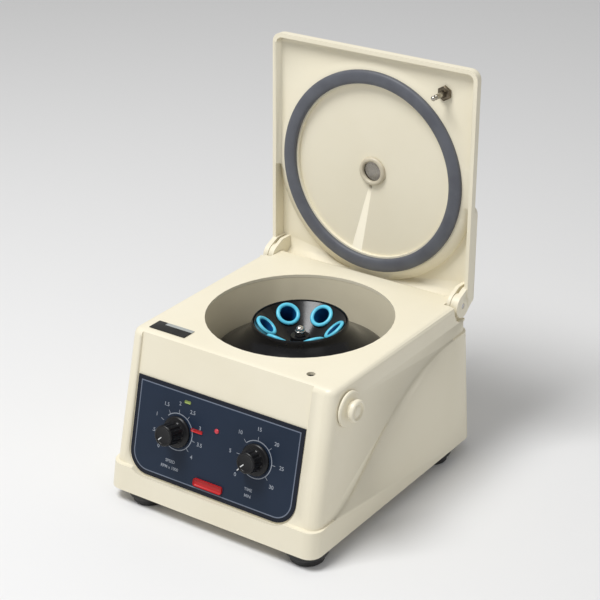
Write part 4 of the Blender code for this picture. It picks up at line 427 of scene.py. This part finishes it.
# Dials: black phenolic knobs, fluted round the grip over a wide skirt, with a white pointer line. The
# timer's is lower, under a tall pointer fin. Each pushes on a steel spindle.
def lathed(name, outline, steps, ring=False):
    """A turned piece: a circle drawn up through the (radius, height) rings of its outline."""
    radius, height = outline[0]
    bpy.context.tool_settings.mesh_select_mode = (True, False, False)
    bpy.ops.object.select_all(action="DESELECT")
    bpy.ops.mesh.primitive_circle_add(vertices=steps, radius=radius, fill_type="NOTHING" if ring else "NGON")
    piece = bpy.context.object
    piece.name = name
    bpy.ops.object.mode_set(mode="EDIT")
    bpy.ops.mesh.select_all(action="SELECT")
    bpy.ops.transform.translate(value=(0, 0, height))
    for (radius, height), (wider, higher) in zip(outline, outline[1:]):
        bpy.ops.mesh.extrude_region_move(TRANSFORM_OT_translate={"value": (0, 0, higher - height)})
        grow = wider / radius
        bpy.ops.transform.resize(value=(grow, grow, 1), center_override=(0, 0, higher))
    bpy.ops.mesh.select_all(action="SELECT")
    if ring:
        bpy.ops.mesh.remove_doubles(threshold=1e-6)
    bpy.ops.mesh.normals_make_consistent(inside=False)
    bpy.ops.object.mode_set(mode="OBJECT")
    return piece


def eased(piece, width, segments=3, angle=28.0):
    """Rounds every edge that is sharper than an angle."""
    hold(piece)
    bevel = piece.modifiers.new("ease", "BEVEL")
    bevel.width = width
    bevel.segments = segments
    bevel.limit_method = "ANGLE"
    bevel.angle_limit = radians(angle)
    bpy.ops.object.modifier_apply(modifier=bevel.name)
    return piece


knob_black = finish_of(
    "knob_black", (0.008, 0.008, 0.009), (0.012, 0.012, 0.013), 0.34, 0.14, size=0.0006,
    depth=0.00003, gloss=0.3,
)
pointer_white = finish_of(
    "pointer_white", (0.75, 0.76, 0.76), (0.65, 0.66, 0.66), 0.45, size=0.0003,
)
KNOB_LOW, KNOB_SKIRT = 0.0016, 0.0046
FLUTES = 12


def dial_knob(name, top, arm_top):
    """One fluted knob with its skirt, dished cap and pointer, pointing up the panel."""
    outline = (
        (0.0120, KNOB_LOW),
        (0.0152, KNOB_LOW),
        (0.0152, KNOB_SKIRT - 0.0012),
        (0.0140, KNOB_SKIRT),
        (0.0111, KNOB_SKIRT),
        (0.0107, KNOB_SKIRT + 0.0014),
        (0.0105, KNOB_SKIRT + 0.0022),
        (0.0101, top - 0.0022),
        (0.0100, top - 0.0008),
        (0.0092, top),
        (0.0078, top),
        (0.0074, top - 0.0005),
        (0.0020, top - 0.0005),
    )
    knob = lathed(name, outline, FLUTES * 12)
    low, high = KNOB_SKIRT + 0.0018, top - 0.0012
    pick_points(knob, lambda p: low < p.z < high and cos(FLUTES * atan2(p.y, p.x)) > 0.35)
    bpy.ops.transform.resize(value=(0.925, 0.925, 1), center_override=(0, 0, 0))
    bpy.ops.object.mode_set(mode="OBJECT")
    eased(knob, 0.0003, 2, 40.0)
    knob.data.materials.append(knob_black)
    knob.data.materials.append(pointer_white)
    arm = slab("arm", 0.0020, 0.0108, arm_top - KNOB_LOW, KNOB_LOW, (0, 0.0110))
    pick_points(arm, lambda p: p.y > 0.0120 and p.z > 0.5 * (arm_top + KNOB_LOW))
    bpy.ops.transform.translate(value=(0, 0, -0.25 * (arm_top - KNOB_LOW)))
    bpy.ops.object.mode_set(mode="OBJECT")
    eased(arm, 0.0005)
    arm.data.materials.append(knob_black)
    line = slab("line", 0.0010, 0.0052, 0.0002, 0, (0, 0))
    bpy.ops.object.mode_set(mode="OBJECT")
    slope = atan2(0.25 * (arm_top - KNOB_LOW), 0.0108)
    middle = arm_top - 0.25 * (arm_top - KNOB_LOW) * (0.0132 - 0.0056) / 0.0108
    line.matrix_world = Matrix.Translation((0, 0.0132, middle)) @ Matrix.Rotation(-slope, 4, "X")
    line.data.materials.append(pointer_white)
    cap_line = slab("cap_line", 0.0009, 0.0046, 0.0002, top - 0.00055, (0, 0.0048))
    bpy.ops.object.mode_set(mode="OBJECT")
    cap_line.data.materials.append(pointer_white)
    return joined([knob, arm, line, cap_line], name)


for name, centre_x, body, node, top, arm_top in (
    ("speed_dial_knob", SPEED_X, "speed_dial", "speed_knob", 0.0230, 0.0074),
    ("timer_dial_knob", TIMER_X, "timer_dial", "timer_knob", 0.0180, 0.0164),
):
    place = panel @ Matrix.Translation((centre_x, 0, 0)) @ Matrix.Rotation(radians(135), 4, "Z")
    dial = settle(dial_knob(name, top, arm_top), name, place)
    fit(dial, None, body, "black_moulding", node)


# Neon lamp: a small red dome pushed through the overlay between the dials.
lamp_red = finish_of("lamp_red", (0.62, 0.05, 0.07), (0.55, 0.03, 0.05), 0.16, 0.05, size=0.0004)
lamp_outline = [(0.0015, -0.008), (0.0024, -0.008), (0.0024, 0.0016)]
lamp_outline += [(0.0024 * cos(a), 0.0016 + 0.0011 * sin(a)) for a in (0.3, 0.6, 0.9, 1.2, 1.4)]
lamp = lathed("panel_lamp_dome", lamp_outline, 32)
settle(lamp, "panel_lamp_dome", panel @ Matrix.Translation((-0.0042, 0.0135, 0)), 50.0)
fit(lamp, lamp_red, "body", "red_lamp", "panel_lamp")


# Rating plate, left bare: a thin anodised plate near the front left corner of the top, black, with a grey
# strip along most of its back edge that is a painted highlight.
plate_painted_highlight = finish_of("plate_painted_highlight", (0.4, 0.42, 0.41), (0.34, 0.36, 0.35), 0.4, size=0.0004)
plate_black = finish_of(
    "plate_black", (0.018, 0.018, 0.017), (0.028, 0.028, 0.026), 0.4, size=0.0004, patch=0.02,
    gloss=0.3,
)
STRIP_FRONT, STRIP_LEFT = -0.0913, -0.0915
plate = slab("rating_plate", 0.042, 0.016, 0.0006, 0.0003, (-0.081, -0.0945))
bpy.ops.mesh.bisect(plane_co=(0, STRIP_FRONT, 0), plane_no=(0, 1, 0))
bpy.ops.mesh.select_all(action="SELECT")
bpy.ops.mesh.bisect(plane_co=(STRIP_LEFT, 0, 0), plane_no=(1, 0, 0))
for look in (plate_black, plate_painted_highlight):
    plate.data.materials.append(look)
# The back strip takes the grey: a painted highlight along the plate.
pick_faces(plate, lambda c, n: c.y > STRIP_FRONT and c.x > STRIP_LEFT)
colour_picked(plate, 1)
bpy.ops.object.mode_set(mode="OBJECT")
eased(plate, 0.0002, 2)
settle(plate, "rating_plate", deck)
fit(plate, None, "body", "black_moulding", "label_plate")


# Feet: four round black rubber bumpers, waisted, with a recess for the screw that holds each one.
foot_outline = (
    (0.0052, 0.0050),
    (0.0055, 0.0006),
    (0.0070, 0.0),
    (0.0148, 0.0),
    (0.0160, 0.0008),
    (0.0172, 0.0060),
    (0.0188, 0.0072),
    (0.0199, 0.0082),
    (0.0199, 0.0120),
    (0.0190, 0.0129),
    (0.0060, 0.0129),
)
first_foot = eased(lathed("rubber_foot", foot_outline, 72), 0.0004, 2)
for spot in ("front_left", "front_right", "rear_left", "rear_right"):
    low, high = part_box("foot_" + spot)
    foot = first_foot.copy()
    foot.data = first_foot.data.copy()
    bpy.context.collection.objects.link(foot)
    centre = Matrix.Translation(((low[0] + high[0]) / 2, (low[1] + high[1]) / 2, 0))
    settle(foot, "rubber_foot_" + spot, centre)
    fit(foot, black_rubber, "body", "black_rubber", "foot_" + spot)
bpy.data.objects.remove(first_foot)


# Rotor: a glossy black phenolic head, dished so that six sleeves lean in to its nut, inside a flared
# skirt, a separate moulding that hides their lower ends.
def bored(piece, cutters):
    """Takes cutters out of a piece and throws them away."""
    for cutter in cutters:
        hold(piece)
        bore = piece.modifiers.new("bore", "BOOLEAN")
        bore.operation = "DIFFERENCE"
        bore.solver = "EXACT"
        bore.object = cutter
        bpy.ops.object.modifier_apply(modifier=bore.name)
        bpy.data.objects.remove(cutter)
    return piece


gloss_black = finish_of(
    "gloss_black", (0.006, 0.006, 0.007), (0.009, 0.009, 0.010), 0.2, size=0.0011, depth=0.000012,
    patch=0.03, gloss=0.3,
)
SLEEVE_TILT, SLEEVE_CIRCLE, RIM_DROP = radians(40), 0.0317, 0.013
SLEEVE_COUNT, FIRST_SLEEVE = 6, radians(26)
SEAT_BORE, SEAT_RIM, SEAT_DEPTH, SEAT_LOW, SEAT_HIGH = 0.0097, 0.0123, 0.0033, -0.024, 0.006
sleeve_spots = []
for number in range(SLEEVE_COUNT):
    angle = FIRST_SLEEVE + tau * number / SLEEVE_COUNT
    lean = Matrix.Rotation(angle, 4, "Z") @ Matrix.Rotation(-SLEEVE_TILT, 4, "Y")
    spot = Matrix.Translation((SLEEVE_CIRCLE * cos(angle), SLEEVE_CIRCLE * sin(angle), -RIM_DROP))
    sleeve_spots.append(spot @ lean)


def dish(radius):
    """Height of the head's dished face at a radius, square to the sleeves."""
    seat_radius = SLEEVE_CIRCLE + SEAT_DEPTH * sin(SLEEVE_TILT)
    return -RIM_DROP - SEAT_DEPTH * cos(SLEEVE_TILT) + (radius - seat_radius) * tan(SLEEVE_TILT)


head_outline = (
    (0.0046, -0.079),
    (0.0115, -0.079),
    (0.0120, -0.0785),
    (0.0120, dish(0.012) - 0.006),
    (0.0440, dish(0.0440) - 0.006),
    (0.0443, dish(0.0440) - 0.0056),
    (0.0443, dish(0.0443) - 0.0004),
    (0.0440, dish(0.0440)),
    (0.0160, dish(0.016)),
    (0.0105, dish(0.012)),
    (0.0092, -0.0222),
    (0.0046, -0.0222),
)
head = lathed("rotor_head", head_outline, 144)
seats = []
for spot in sleeve_spots:
    seat_outline = (
        (SEAT_BORE, SEAT_LOW),
        (SEAT_BORE, -SEAT_DEPTH),
        (SEAT_RIM, -SEAT_DEPTH),
        (SEAT_RIM, SEAT_HIGH),
    )
    seat = lathed("seat", seat_outline, 64)
    hold(seat)
    seat.matrix_world = spot
    bpy.ops.object.transform_apply(location=True, rotation=True, scale=True)
    seats.append(seat)
bored(head, seats)
settle(head, "rotor_head", deck, 40.0)
fit(head, gloss_black, "rotor_group", "black_moulding", "rotor")

SKIRT_CURVE = (
    (0.0462, -0.0066),
    (0.0469, -0.0082),
    (0.0473, -0.0108),
    (0.0483, -0.0140),
    (0.0514, -0.0180),
    (0.0550, -0.0222),
    (0.0590, -0.0265),
    (0.0645, -0.0310),
    (0.0720, -0.0355),
    (0.0805, -0.0393),
    (0.0842, -0.0414),
)
SKIRT_INSIDE = (
    (0.0449, -0.0072),
    (0.0449, -0.0120),
    (0.0458, -0.0145),
    (0.0488, -0.0186),
    (0.0532, -0.0236),
    (0.0575, -0.0281),
    (0.0632, -0.0327),
    (0.0710, -0.0374),
    (0.0798, -0.0413),
    (0.0826, -0.0430),
    (0.0834, -0.0450),
)
skirt_outline = [(0.0452, -0.0062), *SKIRT_INSIDE]
skirt_outline += [(0.0834, -0.0597), (0.0837, -0.0600), (0.0851, -0.0600)]
skirt_outline += [(0.0854, -0.0597), (0.0854, -0.0432)]
skirt_outline += [*reversed(SKIRT_CURVE), (0.0458, -0.0060), (0.0452, -0.0062)]
skirt = lathed("rotor_bell", skirt_outline, 144, ring=True)
settle(skirt, "rotor_bell", deck, 50.0)
fit(skirt, gloss_black, "rotor_group", "black_moulding", "rotor_skirt")


# Tube sleeves: six blow-moulded blue tubes, closed below and lipped at the mouth. The lip's pale blue is
# painted light, for the light that comes through it, and the bore's deep blue is painted shade inside the
# tube.
# Pale blue for the lip: painted light coming through it.
lip_with_painted_light = finish_of(
    "sleeve_lip_painted_light", (0.1, 0.56, 0.78), (0.14, 0.64, 0.84), 0.32, 0.1, size=0.0009, depth=0.00002,
    patch=0.012,
)
# Deep blue for the bore: painted shade inside the tube.
bore_with_painted_shade = finish_of(
    "sleeve_bore_painted_shade", (0.006, 0.09, 0.25), (0.004, 0.055, 0.17), 0.3, 0.1, size=0.0009, depth=0.00002,
    patch=0.015,
)
sleeve_outline = [(0.003, -0.064), (0.006, -0.0632), (0.0082, -0.0608), (0.0094, -0.0575), (0.0094, -0.0045)]
sleeve_outline += [(0.0100, -0.0031), (0.0112, -0.0030), (0.0118, -0.0026), (0.0120, -0.0018)]
sleeve_outline += [(0.0118, -0.0010)]
sleeve_outline += [(0.0112, -0.0004), (0.0103, 0.0), (0.0094, -0.0001), (0.0086, -0.0006), (0.0081, -0.0014)]
sleeve_outline += [(0.0078, -0.0030), (0.0078, -0.054), (0.0066, -0.0585), (0.0042, -0.0612)]
sleeve_outline += [(0.0015, -0.062)]
first_sleeve = lathed("tube_sleeve", sleeve_outline, 64)
first_sleeve.data.materials.append(lip_with_painted_light)
first_sleeve.data.materials.append(bore_with_painted_shade)
# The faces inside the bore get the deep blue: painted shade.
pick_faces(first_sleeve, lambda c, n: c.z < -0.0012 and c.x * c.x + c.y * c.y < 0.0080**2 and c.z > -0.0625)
colour_picked(first_sleeve, 1)
bpy.ops.object.mode_set(mode="OBJECT")
for number, spot in enumerate(sleeve_spots, 1):
    sleeve = first_sleeve.copy()
    sleeve.data = first_sleeve.data.copy()
    bpy.context.collection.objects.link(sleeve)
    settle(sleeve, f"tube_sleeve_{number}", deck @ spot, 60.0)
    fit(sleeve, None, "rotor_group", "blue_sleeve", f"sleeve_{number}")
bpy.data.objects.remove(first_sleeve)


# Rotor nut: a bright acorn nut, turned and polished, on a chamfered hexagon.
bright_steel = finish_of(
    "bright_steel", (0.62, 0.6, 0.57), (0.5, 0.48, 0.45), 0.2, 0.12, size=0.0008, depth=0.00001,
    patch=0.004,
)
bright_steel.node_tree.nodes["Principled BSDF"].inputs["Metallic"].default_value = 1.0
low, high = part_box("rotor_nut")
nut_high = high[2] - low[2]
hexagon = lathed("hexagon", ((0.0044, 0.0), (0.0055, 0.0004), (0.0055, 0.0046), (0.0044, 0.0050)), 6)
dome_outline = [(0.0040, 0.0046), (0.0043, 0.0050)]
for angle in (0.2, 0.5, 0.8, 1.1, 1.35, 1.5):
    dome_outline.append((0.0043 * cos(angle), 0.0052 + (nut_high - 0.0052) * sin(angle)))
dome = lathed("dome", dome_outline, 40)
nut = joined([eased(hexagon, 0.0003, 2, 20.0), dome], "acorn_nut")
settle(nut, "acorn_nut", Matrix.Translation((AXIS_X, AXIS_Y, low[2])), 40.0)
fit(nut, bright_steel, "rotor_group", "steel", "rotor_nut")


# Lid: a shallow ivory moulding like the body, open at rest on its two hinge pockets, with a ring
# channel moulded inside it for the gasket and a small sight hole.
lid_place = Matrix.Translation((AXIS_X, 0.11909, 0.1617)) @ Matrix.Rotation(-1.59872, 4, "X")
lid_place = lid_place @ Matrix.Translation((0, -0.1103, 0.006))
cover = moulding_from("lid", "lid_cover")
fit(cover, ivory, "lid_group", "cream_moulding", "lid")


# Lid gasket: a ring of moulded grey rubber, round where it meets the top of the body.
gasket_grey = finish_of(
    "gasket_grey", (0.105, 0.112, 0.132), (0.085, 0.09, 0.108), 0.5, 0.12, size=0.0006,
    depth=0.00005, patch=0.02,
)
GASKET_MIDDLE, GASKET_HALF = 0.0962, 0.0067
gasket_outline = [(GASKET_MIDDLE - GASKET_HALF, 0.0037)]
for step in range(15):
    angle = pi * step / 14
    gasket_outline.append((GASKET_MIDDLE - GASKET_HALF * cos(angle), 0.0016 - 0.0028 * sin(angle)))
gasket_outline += [(GASKET_MIDDLE + GASKET_HALF, 0.0037), gasket_outline[0]]
gasket = settle(lathed("gasket_ring", gasket_outline, 192, ring=True), "gasket_ring", lid_place, 50.0)
fit(gasket, gasket_grey, "lid_group", "grey_rubber", "lid_gasket")


# Sight window: a smoky clear disc, pressed into the lid and held there by an ivory snap ring.
glass = bpy.data.materials.new("sight_glass")
glass.use_nodes = True
glass_shader = glass.node_tree.nodes["Principled BSDF"]
glass_shader.inputs["Transmission Weight"].default_value = 1.0
glass_shader.inputs["IOR"].default_value = 1.49
glass_skin = glass.node_tree.nodes.new("ShaderNodeGroup")
glass_skin.node_tree = grain_group
glass_skin.inputs["Colour"].default_value = (0.36, 0.33, 0.28, 1)
glass_skin.inputs["Cloud Colour"].default_value = (0.28, 0.255, 0.215, 1)
glass_skin.inputs["Cloud Scale"].default_value = 180
glass_skin.inputs["Sheen"].default_value = 0.06
glass_skin.inputs["Sheen Spread"].default_value = 0.06
glass.node_tree.links.new(glass_skin.outputs["Colour"], glass_shader.inputs["Base Color"])
glass.node_tree.links.new(glass_skin.outputs["Sheen"], glass_shader.inputs["Roughness"])
lens_outline = ((0.0118, 0.0078), (0.0122, 0.0080), (0.0122, 0.0096), (0.0118, 0.0098))
lens = settle(lathed("sight_lens", lens_outline, 72), "sight_lens", lid_place, 30.0)
fit(lens, glass, "lid_group", "clear_window", "lid_window")
ring_ivory = finish_of(
    "ring_ivory", (0.62, 0.56, 0.43), (0.52, 0.465, 0.35), 0.34, 0.12, size=0.0006, depth=0.00002,
    patch=0.01,
)
bezel_outline = [(0.0100, 0.0072), (0.0100, 0.0052), (0.0104, 0.0044), (0.0112, 0.0039), (0.0122, 0.0038)]
bezel_outline += [(0.0134, 0.0040), (0.0142, 0.0047), (0.0145, 0.0058), (0.0145, 0.0072), (0.0100, 0.0072)]
bezel = settle(lathed("sight_bezel", bezel_outline, 96, ring=True), "sight_bezel", lid_place, 40.0)
fit(bezel, ring_ivory, "lid_group", "dark_metal", "window_ring")


# Latch pin: a turned steel pin, necked near its tip for the latch's hook, held in the lid by a dark
# hexagon nut.
dark_bronze = finish_of(
    "dark_bronze", (0.2, 0.165, 0.12), (0.12, 0.1, 0.07), 0.3, 0.14, size=0.0007, depth=0.00002,
    patch=0.005,
)
dark_bronze.node_tree.nodes["Principled BSDF"].inputs["Metallic"].default_value = 0.9
pin_steel = finish_of(
    "pin_steel", (0.5, 0.47, 0.42), (0.32, 0.3, 0.26), 0.26, 0.1, size=0.0007, depth=0.00001,
    patch=0.004,
)
pin_steel.node_tree.nodes["Principled BSDF"].inputs["Metallic"].default_value = 1.0
pin_place = lid_place @ Matrix.Translation((0.0784, -0.0947, 0))
pin_outline = (
    (0.0010, -0.0167),
    (0.0018, -0.0160),
    (0.0025, -0.0150),
    (0.0025, -0.0140),
    (0.0014, -0.0137),
    (0.0014, -0.0113),
    (0.0025, -0.0108),
    (0.0025, 0.0088),
    (0.0021, 0.0092),
)
pin = settle(eased(lathed("latch_stud", pin_outline, 40), 0.00015, 2), "latch_stud", pin_place, 40.0)
fit(pin, pin_steel, "lid_group", "dark_metal", "latch_pin")
lock_outline = ((0.0028, 0.0072), (0.0075, 0.0072), (0.0075, 0.0041), (0.0064, 0.0034), (0.0040, 0.0034))
lock_outline += ((0.0036, 0.0038), (0.0028, 0.0038), (0.0028, 0.0072))
lock = eased(lathed("stud_nut", lock_outline, 6, ring=True), 0.0003, 2, 20.0)
settle(lock, "stud_nut", pin_place, 35.0)
fit(lock, dark_bronze, "lid_group", "dark_metal", "latch_nut")


# Latch knob: a turned ivory knob on the right wall, a wide flange under an undercut cap with a
# raised rim and a shallow button in its middle.
low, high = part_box("latch_knob")
knob_place = Matrix.Translation((low[0], (low[1] + high[1]) / 2, (low[2] + high[2]) / 2))
knob_place = knob_place @ Matrix.Rotation(pi / 2, 4, "Y")
latch_outline = (
    (0.0060, 0.0),
    (0.0166, 0.0),
    (0.0170, 0.0004),
    (0.0170, 0.0020),
    (0.0160, 0.0029),
    (0.0098, 0.0030),
    (0.0086, 0.0034),
    (0.0084, 0.0058),
    (0.0099, 0.0063),
    (0.0107, 0.0072),
    (0.0107, 0.0100),
    (0.0101, 0.0111),
    (0.0092, 0.0115),
    (0.0082, 0.0112),
    (0.0077, 0.0104),
    (0.0074, 0.0096),
    (0.0056, 0.0095),
    (0.0052, 0.0099),
    (0.0046, 0.0103),
    (0.0010, 0.0104),
)
latch = settle(lathed("latch_dial", latch_outline, 96), "latch_dial", knob_place, 40.0)
fit(latch, ivory, "latch_handle", "cream_moulding", "latch_knob")


# Works inside, and the metal fixings: turned steel shafts and pins, zinc-plated pressings, the
# motor's can and end bell, rubber dampers, the speed board and the mains inlet on the back.
shaft_steel = finish_of(
    "shaft_steel", (0.56, 0.55, 0.54), (0.46, 0.45, 0.44), 0.28, 0.12, size=0.0004, depth=0.00001,
    drawn=(1, 1, 0.05),
)
zinc = finish_of(
    "zinc_plate", (0.44, 0.44, 0.42), (0.36, 0.36, 0.35), 0.42, 0.16, size=0.002, depth=0.00001,
    patch=0.012,
)
for metal in (shaft_steel, zinc):
    metal.node_tree.nodes["Principled BSDF"].inputs["Metallic"].default_value = 1.0
black_plastic = finish_of(
    "black_plastic", (0.014, 0.014, 0.015), (0.02, 0.02, 0.021), 0.4, 0.1, size=0.0005,
)
board_green = finish_of(
    "board_green", (0.02, 0.13, 0.05), (0.015, 0.1, 0.04), 0.35, 0.1, size=0.0008, patch=0.006,
)
NODE_FINISHES = (
    (shaft_steel, ("hinge_pin_left", "hinge_pin_right", "motor_shaft", "latch_shaft")),
    (shaft_steel, ("speed_spindle", "timer_spindle", "foot_screw_front_left", "foot_screw_front_right")),
    (shaft_steel, ("foot_screw_rear_left", "foot_screw_rear_right", "motor_screw_1", "motor_screw_2")),
    (shaft_steel, ("motor_screw_3", "motor_bearing_lower", "motor_bearing_upper")),
    (zinc, ("motor_can", "motor_end_bell", "motor_plate", "motor_armature", "latch_bracket", "latch_cam")),
    (zinc, ("speed_potentiometer", "timer_mechanism")),
    (black_rubber, ("motor_damper_1", "motor_damper_2", "motor_damper_3")),
    (black_plastic, ("lid_switch", "switch_plunger", "power_inlet", "fuse_drawer")),
    (board_green, ("circuit_board",)),
)
for look, names in NODE_FINISHES:
    for name in names:
        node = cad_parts[name]
        node.data.materials.clear()
        node.data.materials.append(look)


# Studio: a plain pale floor, one soft lamp high up to the front left, a weak one to the right, and
# the camera at the photograph's place.
bpy.ops.object.select_all(action="DESELECT")
bpy.ops.mesh.primitive_plane_add(size=9.0, location=(0, 2.0, 0))
floor = bpy.context.object
floor.name = "studio_floor"
paper = bpy.data.materials.new("studio_paper")
paper.use_nodes = True
paper_shader = paper.node_tree.nodes["Principled BSDF"]
paper_shader.inputs["Base Color"].default_value = (0.8, 0.8, 0.8, 1)
paper_shader.inputs["Roughness"].default_value = 0.9
floor.data.materials.append(paper)

world = bpy.data.worlds.new("studio_air")
bpy.context.scene.world = world
world.use_nodes = True
air = world.node_tree.nodes["Background"]
air.inputs["Color"].default_value = (1.0, 1.0, 1.0, 1)
air.inputs["Strength"].default_value = 0.42


def soft_lamp(name, place, target, size, watts):
    """A square area lamp that faces a target."""
    bpy.ops.object.light_add(type="AREA", location=place)
    lamp = bpy.context.object
    lamp.name = name
    lamp.data.size = size
    lamp.data.energy = watts
    lamp.rotation_euler = (Vector(target) - Vector(place)).to_track_quat("-Z", "Y").to_euler()
    return lamp


soft_lamp("key_lamp", (-0.42, -0.8, 2.2), (0, 0, 0.15), 0.9, 41)
soft_lamp("fill_lamp", (1.7, -0.6, 1.2), (0, 0, 0.15), 1.2, 2)

bpy.ops.object.camera_add()
camera = bpy.context.object
right, up, back = (0.81848, 0.57444, -0.01002), (-0.23924, 0.35664, 0.90309), (0.52235, -0.73677, 0.42933)
turn = Matrix((right, up, back)).transposed().to_4x4()
camera.matrix_world = Matrix.Translation((0.87892, -1.23635, 0.90687)) @ turn
camera.data.sensor_width = 36.0
camera.data.lens = 106.46
camera.data.clip_start = 0.01
bpy.context.scene.camera = camera
bpy.context.scene.view_settings.view_transform = "Standard"
